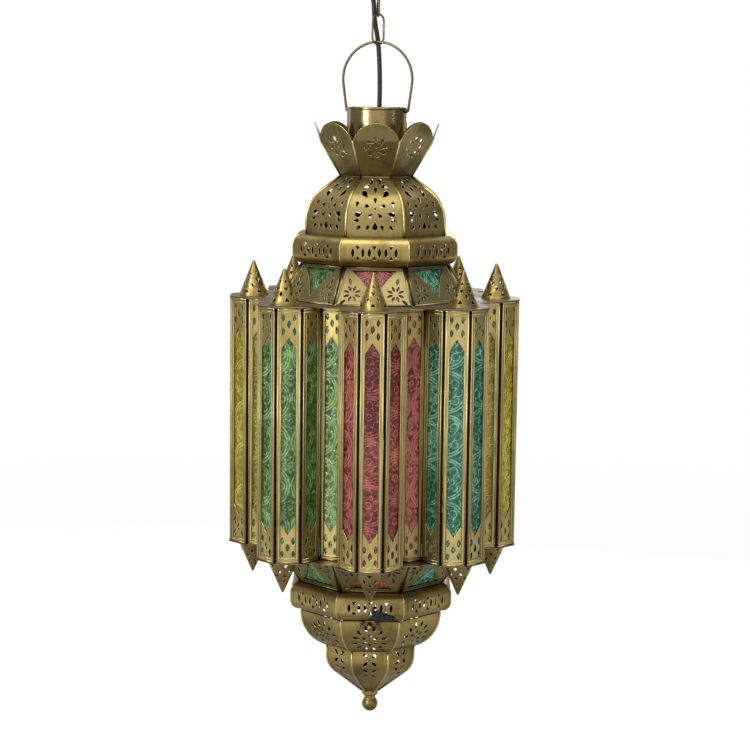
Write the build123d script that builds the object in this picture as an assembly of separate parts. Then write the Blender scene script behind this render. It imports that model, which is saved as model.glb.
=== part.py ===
from build123d import *
import math
import os

# A hanging octagonal brass lantern with coloured glass columns.
# Heights run down from the ceiling at zero; the front of the lantern faces -Y.

# Common sheet-metal sizes
SIDES = 8
SHEET = 0.8             # brass sheet thickness
SEAM = 0.15             # half the gap at a soldered seam
PLATE = 1.0             # thickness of the flat plates between storeys
THREAD_FIT = 0.05       # radial room of a screwed or pinned fit
CUT = 12.0              # reach of a piercing tool to each side of a sheet

# Ceiling set
BAR_LENGTH = 80.0
BAR_WIDTH = 20.0
BAR_THICK = 1.6
BAR_HOLE_R = 2.25
BAR_HOLE_PITCH = 60.0
CANOPY_R = 45.0
CANOPY_HEIGHT = 34.0
CANOPY_ROUND = 12.0
NIPPLE_R = 5.0
NIPPLE_WALL = 1.5
LOOP_COLLAR_R = 8.0
LOOP_COLLAR_HEIGHT = 13.7
LOOP_FLOOR = 3.7        # solid end of the collar below the nipple
LOOP_R = 8.0            # ring centreline
LOOP_WIRE_R = 1.5
GLAND_PLACE = (-12.0, 9.0)
GLAND_R = 6.0
GLAND_STEM_R = 4.0
GLAND_DROP = 7.0
GLAND_STEM = 8.0

# Chain, bail and flex
PLAY = 0.15             # gap between wires that hang on one another
LINK_WIRE_R = 1.1
LINK_PITCH = 32.65      # bar centre to bar centre
LINK_HALF_WIDTH = 7.4
LINK_SLIT = 0.4         # open joint in a link's side
CHAIN_TURN = 35.0       # turn of the loop and the lower link about Z
UPPER_LINK_TURN = 97.0
BAIL_WIRE_R = 1.4
BAIL_SPREAD = 7.5       # arch radius beyond the neck's radius
BAIL_HEIGHT = 75.55     # top centreline to pivot
BAIL_LEAN = 8.0         # degrees by which the legs lean inwards
BAIL_BEND_R = 3.0
BAIL_TAIL = 4.0         # wire inside the neck
BAIL_TURN = -20.0
FLEX_R = 2.6
ARC_SHARE = 0.45        # share of the shorter run that an arc of the flex takes

# Neck and crown
PIVOT_DROP = 5.0        # rim to bail holes
PIVOT_FIT = 0.05
NECK_R = 33.0
NECK_WALL = 1.0
NECK_HEIGHT = 74.7
RIM_ROLL_R = 1.4
CROWN_BASE = 39.2       # distance from the axis to the middle of a side
CROWN_BEND = 62.0
CROWN_TIP = 68.8
CROWN_BEND_HEIGHT = 39.0
CROWN_LOBE_HEIGHT = 19.0
CROWN_SLIT_HEIGHT = 34.0  # height at which neighbouring petals part

# Dome and bands
DOME_KNEE = 59.0
DOME_BASE = 75.6
DOME_HEIGHT = 62.5
DOME_KNEE_DROP = 15.0
DOME_SKIRT = 14.5       # upright part at the foot
FLANGE_IN = 5.6         # band flange inside the dome's foot
BAND_SWELL = 14.3       # band face outside the dome's foot
BAND_ROUND = 11.5
UPPER_BAND_HEIGHT = 31.0
LOWER_BAND_HEIGHT = 32.0

# Shoulders between the bands and the columns
SHOULDER_STEP = 4.4     # small end outside the dome's foot
SHOULDER_SPREAD = 24.0  # large end outside the small end
SHOULDER_HEIGHT = 40.0

# Glazed panels
GLASS = 2.0
SINK = 0.8              # depth of the pierced plate behind the rails
PANE_BACK = 0.2         # rail behind the pane
POCKET_WALL = 2.0       # rail wall beside a pane
PANE_FIT = 0.1
RAIL = 4.4
END_RAIL = 6.0
PANEL_GAP = 0.2         # room between neighbouring panels at the back

# Columns
COLUMN_STAND = 21.6     # foot of a shoulder to the axis of a column
COLUMN_FLAT = 34.4      # column axis to the front of a panel
COLUMN_HEIGHT = 276.0
POINT_DROP = 31.0       # panel end to the point of the glass
POINT_HEIGHT = 12.2
RECESS_SET = 1.0        # recess panel behind the inner corners of the columns
RECESS_LAP = 1.2        # recess panel past those corners
PLATE_OVERHANG = 1.0
PLATE_LEDGE = 6.0       # plate inside the foot of a shoulder
CONE_OUT = 9.4          # cone axis outside the column axis
UPPER_CONE_R = 16.5
UPPER_CONE_HEIGHT = 39.2
LOWER_CONE_R = 17.5
LOWER_CONE_HEIGHT = 38.0
CONE_TIP_R = 1.4
CONE_LIGHT_R = 10.0     # hole in the plate under a cone

# Bowl door
DOOR_GAP = 2.0
BOWL_RIM_OUT = 2.4      # bowl rim outside the dome's foot
BOWL_RUN = 28.8         # how far the upper tier draws in
BOWL_UPPER_HEIGHT = 42.3
BOWL_LIP = 4.0          # upper tier carried inside the lower one
TIER_GAP = 0.3
LOWER_TIER_SKIRT = 11.0
LOWER_TIER_KNEE_RUN = 11.0
LOWER_TIER_KNEE_DROP = 33.0
LOWER_TIER_FOOT = 9.5
LOWER_TIER_HEIGHT = 58.0
FINIAL_COLLAR_IN = 0.3  # collar inside the foot of the lower tier
FINIAL_COLLAR = 6.0
FINIAL_WAIST_R = 6.3
FINIAL_WAIST = 4.0
FINIAL_BALL_R = 9.0
FINIAL_STUD_R = 3.0
NUT_LAP = 3.5           # nut past the foot of the lower tier
NUT_HEIGHT = 5.0
NUT_SEAT = 0.05

# Catch and hinge of the bowl
KNOB_DROP = 4.0         # bowl rim to knob centre
KNOB_BALL_R = 3.6
KNOB_STEM_R = 1.6
KNOB_ROOM = 1.8         # clip to ball
KNOB_HEAD_R = 3.0
KNOB_HEAD = 1.5
KNOB_HEAD_IN = 1.8      # bowl face to the rivet head
CLIP_THICK = 1.0
CLIP_R = 11.0           # outside of the loop
CLIP_STRIP = 2.6        # width of the loop's strip
CLIP_TAB = 10.0
CLIP_STAND = 4.0        # bowl face to clip
CLIP_LEG = 3.0          # straight ends of the loop
HINGE_OUT = 6.0         # bowl face to hinge axis
HINGE_R = 2.4
HINGE_LAP = 0.4         # barrel sunk in the tongue of the fixed leaf
HINGE_PIN_R = 1.2
HINGE_FIT = 0.05
HINGE_SIDE_FIT = 0.2
KNUCKLE = 8.0
LEAF_THICK = 1.0
LEAF_LENGTH = 16.0

# Lamp
GRIP_R = 7.0
GRIP_HEIGHT = 7.0
GRIP_STEM_R = 4.0
GRIP_STEM = 7.0
FLEX_LENGTH = 194.0
HOLDER_CAP_R = 15.0
HOLDER_CAP_HEIGHT = 20.0
HOLDER_R = 20.0
HOLDER_HEIGHT = 39.0
HOLDER_ROOF = 4.0
BULB_CAP_R = 13.2
BULB_CAP_HEIGHT = 30.0
BULB_ROOM = 0.4
BULB_R = 30.0
BULB_WALL = 1.0
BULB_LENGTH = 84.0
BULB_JOIN = 35.0        # degrees above the widest girth where the flare starts

# Piercings: outlines as (length, width), or (width, height) for a spike, and the rings that they stand on
DOT_R = 1.0
PETAL_DROPS = 8
PETAL_DROP = (8.4, 4.2)
PETAL_RING_R = 8.8
PETAL_TWIST = 35.0
PETAL_FLOWER_HEIGHT = 32.0
DOME_DROPS = 5
DOME_INNER_DROP = (6.0, 4.0)
DOME_INNER_R = 8.4
DOME_OUTER_DROP = (9.0, 6.0)
DOME_OUTER_R = 18.0
DOME_SMALL_DROP = (6.4, 3.8)
DOME_CROWN_DROP_UP = 19.0
DOME_FLOWER_HEIGHT = 30.5
# Across, up and lean of the small drops on each half of a gore
DOME_SCATTER = [
    (20.5, -12.5, 80), (18.0, -20.5, 40), (8.0, -20.5, 20),
    (19.2, 4.5, 10), (10.0, 22.6, 70), (4.5, 27.4, 10),
]
BAND_PITCH = 17.7
BAND_SLIT = (10.0, 3.4)
BAND_SLIT_OUT = 5.4
BAND_SPIKE = (5.2, 4.2)
BAND_SPIKE_UP = 5.2
SHOULDER_CORNER = 5.0   # rail to the upper corners of the pointed window
SHOULDER_POINT = 4.0    # rail to its point
SHOULDER_HOLLOW = 0.42  # half width of the window at half height, as a share
SHOULDER_LEAVES = 8
SHOULDER_LEAF = (7.0, 3.0)
SHOULDER_RING_R = 6.4
SHOULDER_FLOWER_IN = 15.5
SHOULDER_FLOWER_UP = 10.5
CORNER_LEAF = (9.0, 3.4)
CORNER_LEAF_R = 14.4
CORNER_LEAF_TURNS = (-45, 82)
COLUMN_MIDDLE_LEAF = (9.0, 4.6)
COLUMN_MIDDLE_UP = 13.6
COLUMN_TOP_LEAF = (7.8, 3.8)
COLUMN_TOP_DOWN = 4.6
COLUMN_SIDE_LEAF = (9.0, 3.8)
COLUMN_SIDE_UP = 6.2
COLUMN_LEAF_IN = 2.1
CONE_HOLES = 6
CONE_FOOT_SPIKE = (6.0, 4.8)
CONE_DIAMOND_HALF = (4.6, 3.3)
CONE_DOWN_SPIKE = (6.2, 5.0)
CONE_TOP_SPIKE = (4.6, 5.6)
CONE_ROWS = (0.16, 0.31, 0.43, 0.65)  # shares of the cone's height
CONE_SHRINK = 0.55
BOWL_DOT_R = 1.2
BOWL_INNER_LEAVES = 6
BOWL_INNER_LEAF = (6.2, 3.4)
BOWL_INNER_R = 7.2
BOWL_OUTER_LEAVES = 12
BOWL_OUTER_LEAF = (7.6, 3.8)
BOWL_OUTER_R = 16.6
BOWL_FLOWER_TURN = 32.0  # degrees down the upper tier's round
CROSS_LEAVES = 4
CROSS_LEAF = (7.6, 3.6)
CROSS_R = 7.0
CROSS_DROP = 9.8        # edge of the lower tier to the cross on it
LOW_CROSS_LEAF = (7.2, 3.4)
LOW_CROSS_R = 6.4
LOW_CROSS_SHARE = 0.68  # share of the round's turn at the low cross

# Sizes that follow from those
TURN = 360 / SIDES
HALF_TURN = math.radians(TURN / 2)
SLOPE = math.tan(HALF_TURN)
NIPPLE_GRIP = LOOP_COLLAR_HEIGHT - LOOP_FLOOR
BAIL_R = NECK_R + BAIL_SPREAD
BAND_LEDGE = DOME_BASE - FLANGE_IN
BAND_OUT = DOME_BASE + BAND_SWELL
SHOULDER_TOP = DOME_BASE + SHOULDER_STEP
SHOULDER_FOOT = SHOULDER_TOP + SHOULDER_SPREAD
PANEL_DEPTH = SINK + PLATE + GLASS + PANE_BACK
COLUMN_RING_R = SHOULDER_FOOT + COLUMN_STAND
RECESS_FRONT = COLUMN_RING_R * math.cos(HALF_TURN) - RECESS_SET
RECESS_HALF = COLUMN_RING_R * math.sin(HALF_TURN) - COLUMN_FLAT / math.cos(HALF_TURN) + RECESS_LAP
PLATE_OPENING = SHOULDER_FOOT - PLATE_LEDGE
CONE_RING_R = COLUMN_RING_R + CONE_OUT
REACH = COLUMN_RING_R + COLUMN_FLAT
BOWL_TOP = DOME_BASE + BOWL_RIM_OUT
BOWL_STEP = BOWL_TOP - BOWL_RUN
LOWER_TIER_KNEE = BOWL_STEP - LOWER_TIER_KNEE_RUN
FINIAL_COLLAR_R = LOWER_TIER_FOOT - FINIAL_COLLAR_IN
NUT_R = LOWER_TIER_FOOT + NUT_LAP
KNOB_REACH = CLIP_STAND + KNOB_ROOM + KNOB_BALL_R
HINGE_SPAN = 3 * KNUCKLE + 2 * HINGE_SIDE_FIT

# Heights, worked out downwards
CANOPY_Z = -CANOPY_HEIGHT
LOOP_Z = CANOPY_Z - LOOP_COLLAR_HEIGHT - LOOP_R + LOOP_WIRE_R
LOOP_BAR_Z = LOOP_Z - LOOP_R
UPPER_LINK_Z = LOOP_BAR_Z + LOOP_WIRE_R + LINK_WIRE_R + PLAY
UPPER_LINK_BAR_Z = UPPER_LINK_Z - LINK_PITCH
LOWER_LINK_Z = UPPER_LINK_BAR_Z + 2 * LINK_WIRE_R + PLAY
LOWER_LINK_BAR_Z = LOWER_LINK_Z - LINK_PITCH
BAIL_Z = LOWER_LINK_BAR_Z + LINK_WIRE_R + BAIL_WIRE_R + PLAY
PIVOT_Z = BAIL_Z - BAIL_HEIGHT
RIM_Z = PIVOT_Z + PIVOT_DROP
NECK_FOOT_Z = RIM_Z - NECK_HEIGHT
DOME_Z = NECK_FOOT_Z - PLATE
UPPER_BAND_Z = DOME_Z - DOME_HEIGHT
UPPER_SHOULDER_Z = UPPER_BAND_Z - UPPER_BAND_HEIGHT
TOP_PLATE_Z = UPPER_SHOULDER_Z - SHOULDER_HEIGHT
COLUMN_Z = TOP_PLATE_Z - PLATE
BASE_PLATE_Z = COLUMN_Z - COLUMN_HEIGHT
LOWER_SHOULDER_Z = BASE_PLATE_Z - PLATE
LOWER_BAND_Z = LOWER_SHOULDER_Z - SHOULDER_HEIGHT
LOWER_BAND_FOOT_Z = LOWER_BAND_Z - LOWER_BAND_HEIGHT
BOWL_Z = LOWER_BAND_FOOT_Z - DOOR_GAP
LOWER_TIER_Z = BOWL_Z - BOWL_UPPER_HEIGHT - TIER_GAP
FINIAL_Z = LOWER_TIER_Z - LOWER_TIER_HEIGHT
KNOB_Z = BOWL_Z - KNOB_DROP
HINGE_Y = BOWL_TOP + HINGE_OUT
HINGE_Z = LOWER_BAND_FOOT_Z - LEAF_THICK - HINGE_R + HINGE_LAP
GRIP_FOOT_Z = DOME_Z - GRIP_STEM
HOLDER_Z = GRIP_FOOT_Z - FLEX_LENGTH
SKIRT_Z = HOLDER_Z - HOLDER_CAP_HEIGHT
SKIRT_FOOT_Z = SKIRT_Z - HOLDER_HEIGHT
BULB_NECK_Z = SKIRT_Z - HOLDER_ROOF - BULB_ROOM - BULB_CAP_HEIGHT

# The plane of a section: distance from the axis across, height up
SECTION = Plane(origin=(0, 0, 0), x_dir=(0, -1, 0), z_dir=(-1, 0, 0))

# The flex from the canopy gland past the chain and behind the bail to the neck
CORD_POINTS = [
    (-12.0, 9.0, -41.0),
    (-12.0, 9.0, -54.0),
    (-4.7, 2.0, -76.0),
    (-4.6, 2.6, -95.0),
    (-2.2, 6.2, -120.0),
    (0.4, 3.2, -156.0),
    (1.2, 1.0, -192.0),
    (0.0, 0.0, -230.0),
    (0.0, 0.0, -258.0),
]


# Helpers for shapes that repeat
def upright(place, radius, height):
    """A round bar standing on a place."""
    return Pos(*place) * Cylinder(radius, height, align=(Align.CENTER, Align.CENTER, Align.MIN))


def turned(part, count=SIDES, step=TURN, start=0.0):
    """Copies of a part about the vertical axis."""
    return [Rot(0, 0, start + step * k) * part for k in range(count)]


def octagon(flat):
    """A regular outline with a side to the front."""
    return RegularPolygon(flat, SIDES, major_radius=False, rotation=TURN / 2)


def wedge(bottom, top, gap=SEAM):
    """The front share of the space between two heights, short of its seams by a gap."""
    apex = gap / math.sin(HALF_TURN)
    far = 2 * REACH
    half = (far - apex) * SLOPE
    outline = Polygon((0, -apex), (half, -far), (-half, -far), align=None)
    return Pos(0, 0, bottom) * extrude(outline, top - bottom, dir=(0, 0, 1))


def long_section(face):
    """A section drawn as (distance, height), run across the whole front side."""
    return extrude(SECTION * face, REACH, both=True)


def sheet(curve, side, thickness=SHEET):
    """A sheet's section: a curve thickened to one side."""
    return make_face(offset(curve, thickness, kind=Kind.INTERSECTION, side=side).edges())


def round_radius(run, fall):
    """Radius of a round that starts upright, draws in by a run and falls by a height."""
    return (run**2 + fall**2) / (2 * run)


def leaf(length, width):
    """A pointed lens, standing upright."""
    tip, foot = (0, length / 2), (0, -length / 2)
    right = ThreePointArc(foot, (width / 2, 0), tip)
    left = ThreePointArc(tip, (-width / 2, 0), foot)
    return make_face([right, left])


def drop(length, width):
    """A teardrop with its point down."""
    radius = width / 2
    shoulder_y = length / 2 - radius
    point = (0, -length / 2)
    crown = ThreePointArc((radius, shoulder_y), (0, length / 2), (-radius, shoulder_y))
    return make_face([Line(point, (radius, shoulder_y)), crown, Line((-radius, shoulder_y), point)])


def spike(width, height):
    """A triangle with its point up."""
    return Polygon((-width / 2, -height / 2), (width / 2, -height / 2), (0, height / 2), align=None)


def rosette(shape, count, radius, start=90.0, twist=0.0):
    """Shapes standing outwards round a ring."""
    angles = [start + 360 * k / count for k in range(count)]
    return [Rot(0, 0, a) * Pos(radius, 0) * Rot(0, 0, twist - 90) * shape for a in angles]


def pierce(part, holes, distance, height, tilt=0.0, depth=CUT):
    """Cut outlines through a front side, square to a plane that leans back by a tilt."""
    lean = math.radians(tilt)
    plane = Plane(
        origin=(0, -distance, height),
        x_dir=(1, 0, 0),
        z_dir=(0, -math.cos(lean), math.sin(lean)),
    )
    return part - [extrude(plane * hole, depth, both=True) for hole in holes]


def lift(holes, across, up):
    """Move outlines in their own plane."""
    return [Pos(across, up) * hole for hole in holes]


# Ceiling set
def mounting_bar():
    bar = extrude(Rectangle(BAR_LENGTH, BAR_WIDTH), -BAR_THICK)
    nipple_hole = upright((0, 0, -BAR_THICK), NIPPLE_R + THREAD_FIT, BAR_THICK)
    screw_hole = upright((BAR_HOLE_PITCH / 2, 0, -BAR_THICK), BAR_HOLE_R, BAR_THICK)
    return bar - nipple_hole - turned(screw_hole, 2, 180)


def canopy():
    cup = upright((0, 0, CANOPY_Z), CANOPY_R, CANOPY_HEIGHT)
    cup = fillet(cup.edges().group_by(Axis.Z)[0], CANOPY_ROUND)
    hollow = upright((0, 0, CANOPY_Z + SHEET), CANOPY_R - SHEET, CANOPY_HEIGHT)
    hollow = fillet(hollow.edges().group_by(Axis.Z)[0], CANOPY_ROUND - SHEET)
    nipple_hole = upright((0, 0, CANOPY_Z), NIPPLE_R + THREAD_FIT, CANOPY_HEIGHT)
    gland_hole = upright((*GLAND_PLACE, CANOPY_Z), GLAND_STEM_R + THREAD_FIT, CANOPY_HEIGHT)
    return cup - hollow - nipple_hole - gland_hole


def canopy_nipple():
    length = CANOPY_HEIGHT + NIPPLE_GRIP
    place = (0, 0, -length)
    return upright(place, NIPPLE_R, length) - upright(place, NIPPLE_R - NIPPLE_WALL, length)


def canopy_loop():
    foot = CANOPY_Z - LOOP_COLLAR_HEIGHT
    collar = upright((0, 0, foot), LOOP_COLLAR_R, LOOP_COLLAR_HEIGHT)
    bore = upright((0, 0, CANOPY_Z - NIPPLE_GRIP), NIPPLE_R + THREAD_FIT, NIPPLE_GRIP)
    ring = Pos(0, 0, LOOP_Z) * Rot(90, 0, 0) * Torus(LOOP_R, LOOP_WIRE_R)
    return Rot(0, 0, CHAIN_TURN) * (collar + ring - bore)


def canopy_cord_gland():
    flange = upright((*GLAND_PLACE, CANOPY_Z - GLAND_DROP), GLAND_R, GLAND_DROP)
    stem = upright((*GLAND_PLACE, CANOPY_Z), GLAND_STEM_R, GLAND_STEM)
    return flange + stem


# Chain, bail and flex
def chain_link(top, turn):
    """A stadium of round wire hanging from its top bar, with an open joint in one side."""
    rise = LINK_PITCH / 2 - LINK_HALF_WIDTH
    path = SlotCenterToCenter(2 * rise, 2 * LINK_HALF_WIDTH).face().outer_wire()
    section = Plane(path @ 0, z_dir=path % 0) * Circle(LINK_WIRE_R)
    joint = Pos(0, -LINK_HALF_WIDTH) * Box(LINK_SLIT, 4 * LINK_WIRE_R, 4 * LINK_WIRE_R)
    link = sweep(section, path) - joint
    return Pos(0, 0, top - LINK_PITCH / 2) * Rot(0, 0, turn) * Rot(90, 0, 0) * Rot(0, 0, 90) * link


def bail():
    """A round wire handle whose tails turn in through the neck."""
    lean = math.radians(BAIL_LEAN)
    centre = BAIL_Z - BAIL_R
    side = BAIL_R * math.cos(lean)
    knee = centre - BAIL_R * math.sin(lean)
    foot = side - (knee - PIVOT_Z) * math.tan(lean)
    tail = NECK_R - NECK_WALL - BAIL_TAIL
    legs = []
    for sign in (-1, 1):
        points = [(sign * side, knee), (sign * foot, PIVOT_Z), (sign * tail, PIVOT_Z)]
        legs.append(FilletPolyline(*points, radius=BAIL_BEND_R))
    arch = ThreePointArc((-side, knee), (0, BAIL_Z), (side, knee))
    path = Wire(legs[0].edges() + arch.edges() + legs[1].edges())
    section = Plane(path @ 0, z_dir=path % 0) * Circle(BAIL_WIRE_R)
    return Rot(0, 0, BAIL_TURN) * Rot(90, 0, 0) * sweep(section, path)


def cord():
    """The flex as straight runs and the largest arcs that they allow."""
    points = [Vector(*p) for p in CORD_POINTS]
    radii = []
    for before, here, after in zip(points, points[1:], points[2:]):
        run_in, run_out = here - before, after - here
        shorter = min(run_in.length, run_out.length)
        turn = math.radians(run_in.get_angle(run_out))
        radii.append(ARC_SHARE * shorter / math.tan(turn / 2))
    print("cord radii", [round(r, 1) for r in radii])
    path = FilletPolyline(*points, radius=radii)
    flex = sweep(Plane(path @ 0, z_dir=path % 0) * Circle(FLEX_R), path)
    print("cord length", round(path.length, 1))
    even_volume = math.pi * FLEX_R**2 * path.length
    print("cord volume over section times length", round(flex.volume / even_volume, 4))
    return flex


# Neck and crown
def neck_tube():
    tube = upright((0, 0, NECK_FOOT_Z), NECK_R, NECK_HEIGHT - RIM_ROLL_R)
    rim = Pos(0, 0, RIM_Z - RIM_ROLL_R) * Torus(NECK_R - NECK_WALL / 2, RIM_ROLL_R)
    bore = upright((0, 0, NECK_FOOT_Z), NECK_R - NECK_WALL, NECK_HEIGHT)
    holes = Pos(0, 0, PIVOT_Z) * Rot(0, 90, 0) * Cylinder(BAIL_WIRE_R + PIVOT_FIT, 4 * NECK_R)
    return (tube - bore + rim) - Rot(0, 0, BAIL_TURN) * holes


def neck_plate():
    return Pos(0, 0, DOME_Z) * extrude(octagon(CROWN_BASE) - Circle(GRIP_STEM_R + THREAD_FIT), PLATE)


def crown_petals():
    """Flared petals with round tops, each pierced with a pinwheel."""
    foot = (CROWN_BASE, NECK_FOOT_Z)
    bend = (CROWN_BEND, NECK_FOOT_Z + CROWN_BEND_HEIGHT)
    tip_z = NECK_FOOT_Z + CROWN_BEND_HEIGHT + CROWN_LOBE_HEIGHT
    curve = Polyline(foot, bend, (CROWN_TIP, tip_z))
    blank = long_section(sheet(curve, Side.LEFT)) & wedge(NECK_FOOT_Z, tip_z)
    slit = NECK_FOOT_Z + CROWN_SLIT_HEIGHT
    half = CROWN_BEND * SLOPE
    top = ThreePointArc((half, slit), (0, tip_z), (-half, slit))
    lobe = make_face([top, Polyline((-half, slit), (-half, NECK_FOOT_Z), (half, NECK_FOOT_Z), (half, slit))])
    front = Plane(origin=(0, 0, 0), x_dir=(1, 0, 0), z_dir=(0, -1, 0))
    petal = blank & extrude(front * lobe, 2 * REACH)
    flare = math.degrees(math.atan2(CROWN_BEND - CROWN_BASE, CROWN_BEND_HEIGHT))
    distance = CROWN_BASE + (CROWN_BEND - CROWN_BASE) * PETAL_FLOWER_HEIGHT / CROWN_BEND_HEIGHT
    holes = rosette(drop(*PETAL_DROP), PETAL_DROPS, PETAL_RING_R, twist=PETAL_TWIST) + [Circle(DOT_R)]
    return turned(pierce(petal, holes, distance, NECK_FOOT_Z + PETAL_FLOWER_HEIGHT, -flare))


# Dome and bands
def dome_gores():
    """Curved gores pierced with a five-fold flower and scattered drops."""
    knee = (DOME_KNEE, DOME_Z - DOME_KNEE_DROP)
    skirt = (DOME_BASE, UPPER_BAND_Z + DOME_SKIRT)
    upright_part = Line((DOME_BASE, UPPER_BAND_Z), skirt)
    round_part = TangentArc(skirt, knee, tangent=(0, 1))
    curve = Curve() + [upright_part, round_part, Line(knee, (CROWN_BASE, DOME_Z))]
    gore = long_section(sheet(curve, Side.LEFT)) & wedge(UPPER_BAND_Z, DOME_Z)
    holes = [Circle(DOT_R)]
    holes += rosette(drop(*DOME_INNER_DROP), DOME_DROPS, DOME_INNER_R)
    holes += rosette(drop(*DOME_OUTER_DROP), DOME_DROPS, DOME_OUTER_R, start=270)
    small = drop(*DOME_SMALL_DROP)
    holes += lift([small], 0, DOME_CROWN_DROP_UP)
    for across, up, lean in DOME_SCATTER:
        holes += [Pos(s * across, up) * Rot(0, 0, s * lean) * small for s in (-1, 1)]
    depth = DOME_BASE - CROWN_BASE + CUT
    return turned(pierce(gore, holes, DOME_BASE, UPPER_BAND_Z + DOME_FLOWER_HEIGHT, 0, depth))


def band(top, height):
    """A rounded octagonal moulding with a flange above and below, pierced with lens slits."""
    foot = top - height
    outer = [(BAND_LEDGE, top), (BAND_OUT, top), (BAND_OUT, foot), (BAND_LEDGE, foot)]
    curve = FilletPolyline(*outer, radius=BAND_ROUND)
    side = long_section(sheet(curve, Side.RIGHT)) & wedge(foot, top)
    point_up = spike(*BAND_SPIKE)
    holes = []
    for across in (-BAND_PITCH, 0, BAND_PITCH):
        holes += [Pos(across + s * BAND_SLIT_OUT, 0) * leaf(*BAND_SLIT) for s in (-1, 1)]
        holes += lift([Rot(0, 0, 180) * point_up], across, BAND_SPIKE_UP)
        holes += lift([point_up], across, -BAND_SPIKE_UP)
    return turned(pierce(side, holes, BAND_OUT, foot + height / 2))


# Glazed shoulder panels
def shoulder_plane(top, mirrored):
    """The front of a shoulder panel: x across, y up the slope, z outwards."""
    lean = math.atan2(SHOULDER_SPREAD, SHOULDER_HEIGHT)
    tilt = -lean if mirrored else lean
    middle = (SHOULDER_TOP + SHOULDER_FOOT) / 2
    origin = (0, -middle, top - SHOULDER_HEIGHT / 2)
    return Plane(origin=origin, x_dir=(1, 0, 0), z_dir=(0, -math.cos(tilt), math.sin(tilt)))


def shoulder_outline(inset, slope_length):
    """The panel's face, narrower at the small end, moved in by an inset."""
    top = SHOULDER_TOP * SLOPE - inset
    foot = SHOULDER_FOOT * SLOPE - inset
    rise = slope_length / 2 - inset
    return Polygon((-foot, -rise), (foot, -rise), (top, rise), (-top, rise), align=None)


def shoulder_window(slope_length):
    """A downward point with hollow sides."""
    half = SHOULDER_TOP * SLOPE - RAIL - SHOULDER_CORNER
    top = slope_length / 2 - RAIL
    tip = (0, -slope_length / 2 + RAIL + SHOULDER_POINT)
    middle = (half * SHOULDER_HOLLOW, (top + tip[1]) / 2)
    right = ThreePointArc(tip, middle, (half, top))
    left = ThreePointArc((-half, top), (-middle[0], middle[1]), tip)
    return make_face([right, Line((half, top), (-half, top)), left])


def shoulder_flower(slope_length):
    """The ring of leaves beside the window's point, with long leaves to the two corners."""
    flower = rosette(leaf(*SHOULDER_LEAF), SHOULDER_LEAVES, SHOULDER_RING_R, start=TURN / 2)
    for turn in CORNER_LEAF_TURNS:
        flower += rosette(leaf(*CORNER_LEAF), 1, CORNER_LEAF_R, start=turn)
    across = SHOULDER_FOOT * SLOPE - RAIL - SHOULDER_FLOWER_IN
    return lift(flower, across, -slope_length / 2 + RAIL + SHOULDER_FLOWER_UP)


def shoulder(top, mirrored):
    """One frame and its pane in a shoulder panel."""
    plane = shoulder_plane(top, mirrored)
    slope_length = math.hypot(SHOULDER_SPREAD, SHOULDER_HEIGHT)
    flip = Rot(0, 0, 180) if mirrored else Rot(0, 0, 0)
    blank = Rectangle(4 * SHOULDER_FOOT * SLOPE, 2 * slope_length)
    frame = extrude(plane * blank, -PANEL_DEPTH) & wedge(top - SHOULDER_HEIGHT, top, SEAM + PANEL_GAP)
    frame -= extrude(plane * flip * shoulder_outline(RAIL, slope_length), -SINK)
    pocket = plane.offset(-SINK - PLATE)
    frame -= extrude(pocket * flip * shoulder_outline(RAIL, slope_length), -2 * PANEL_DEPTH)
    flower = shoulder_flower(slope_length)
    holes = [shoulder_window(slope_length)] + flower + [mirror(h, Plane.YZ) for h in flower]
    frame -= [extrude(plane * flip * h, PANEL_DEPTH, both=True) for h in holes]
    pane = extrude(pocket * flip * shoulder_outline(RAIL + PANE_FIT, slope_length), -GLASS)
    return frame, pane


# Columns
def column_leaves(window_half):
    """The five leaves above the point of the glass."""
    end = COLUMN_HEIGHT / 2
    leaves = lift([leaf(*COLUMN_MIDDLE_LEAF)], 0, end - POINT_DROP + COLUMN_MIDDLE_UP)
    for side in (-1, 1):
        across = side * (window_half - COLUMN_LEAF_IN)
        leaves += lift([leaf(*COLUMN_TOP_LEAF)], across, end - END_RAIL - COLUMN_TOP_DOWN)
        leaves += lift([leaf(*COLUMN_SIDE_LEAF)], across, end - POINT_DROP + COLUMN_SIDE_UP)
    return leaves


def column_panel(half_width):
    """A column face about its own middle: rails, pierced ends and a pointed slot, front at z zero."""
    frame = extrude(Rectangle(2 * half_width, COLUMN_HEIGHT), -PANEL_DEPTH)
    window_half = half_width - RAIL
    frame -= extrude(Rectangle(2 * window_half, COLUMN_HEIGHT - 2 * END_RAIL), -SINK)
    pocket_half = half_width - POCKET_WALL
    pocket_height = COLUMN_HEIGHT - 2 * END_RAIL
    pocket_depth = PANEL_DEPTH - SINK - PLATE
    frame -= Pos(0, 0, -PANEL_DEPTH) * extrude(Rectangle(2 * pocket_half, pocket_height), pocket_depth)
    tip = COLUMN_HEIGHT / 2 - POINT_DROP
    spring = tip - POINT_HEIGHT
    window = Polygon(
        (0, tip), (window_half, spring), (window_half, -spring),
        (0, -tip), (-window_half, -spring), (-window_half, spring), align=None,
    )
    leaves = column_leaves(window_half)
    holes = [window] + leaves + [Rot(0, 0, 180) * hole for hole in leaves]
    frame -= [extrude(hole, PANEL_DEPTH, both=True) for hole in holes]
    pane = extrude(Rectangle(2 * (pocket_half - PANE_FIT), pocket_height - 2 * PANE_FIT), -GLASS)
    return frame, Pos(0, 0, -SINK - PLATE) * pane


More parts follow.
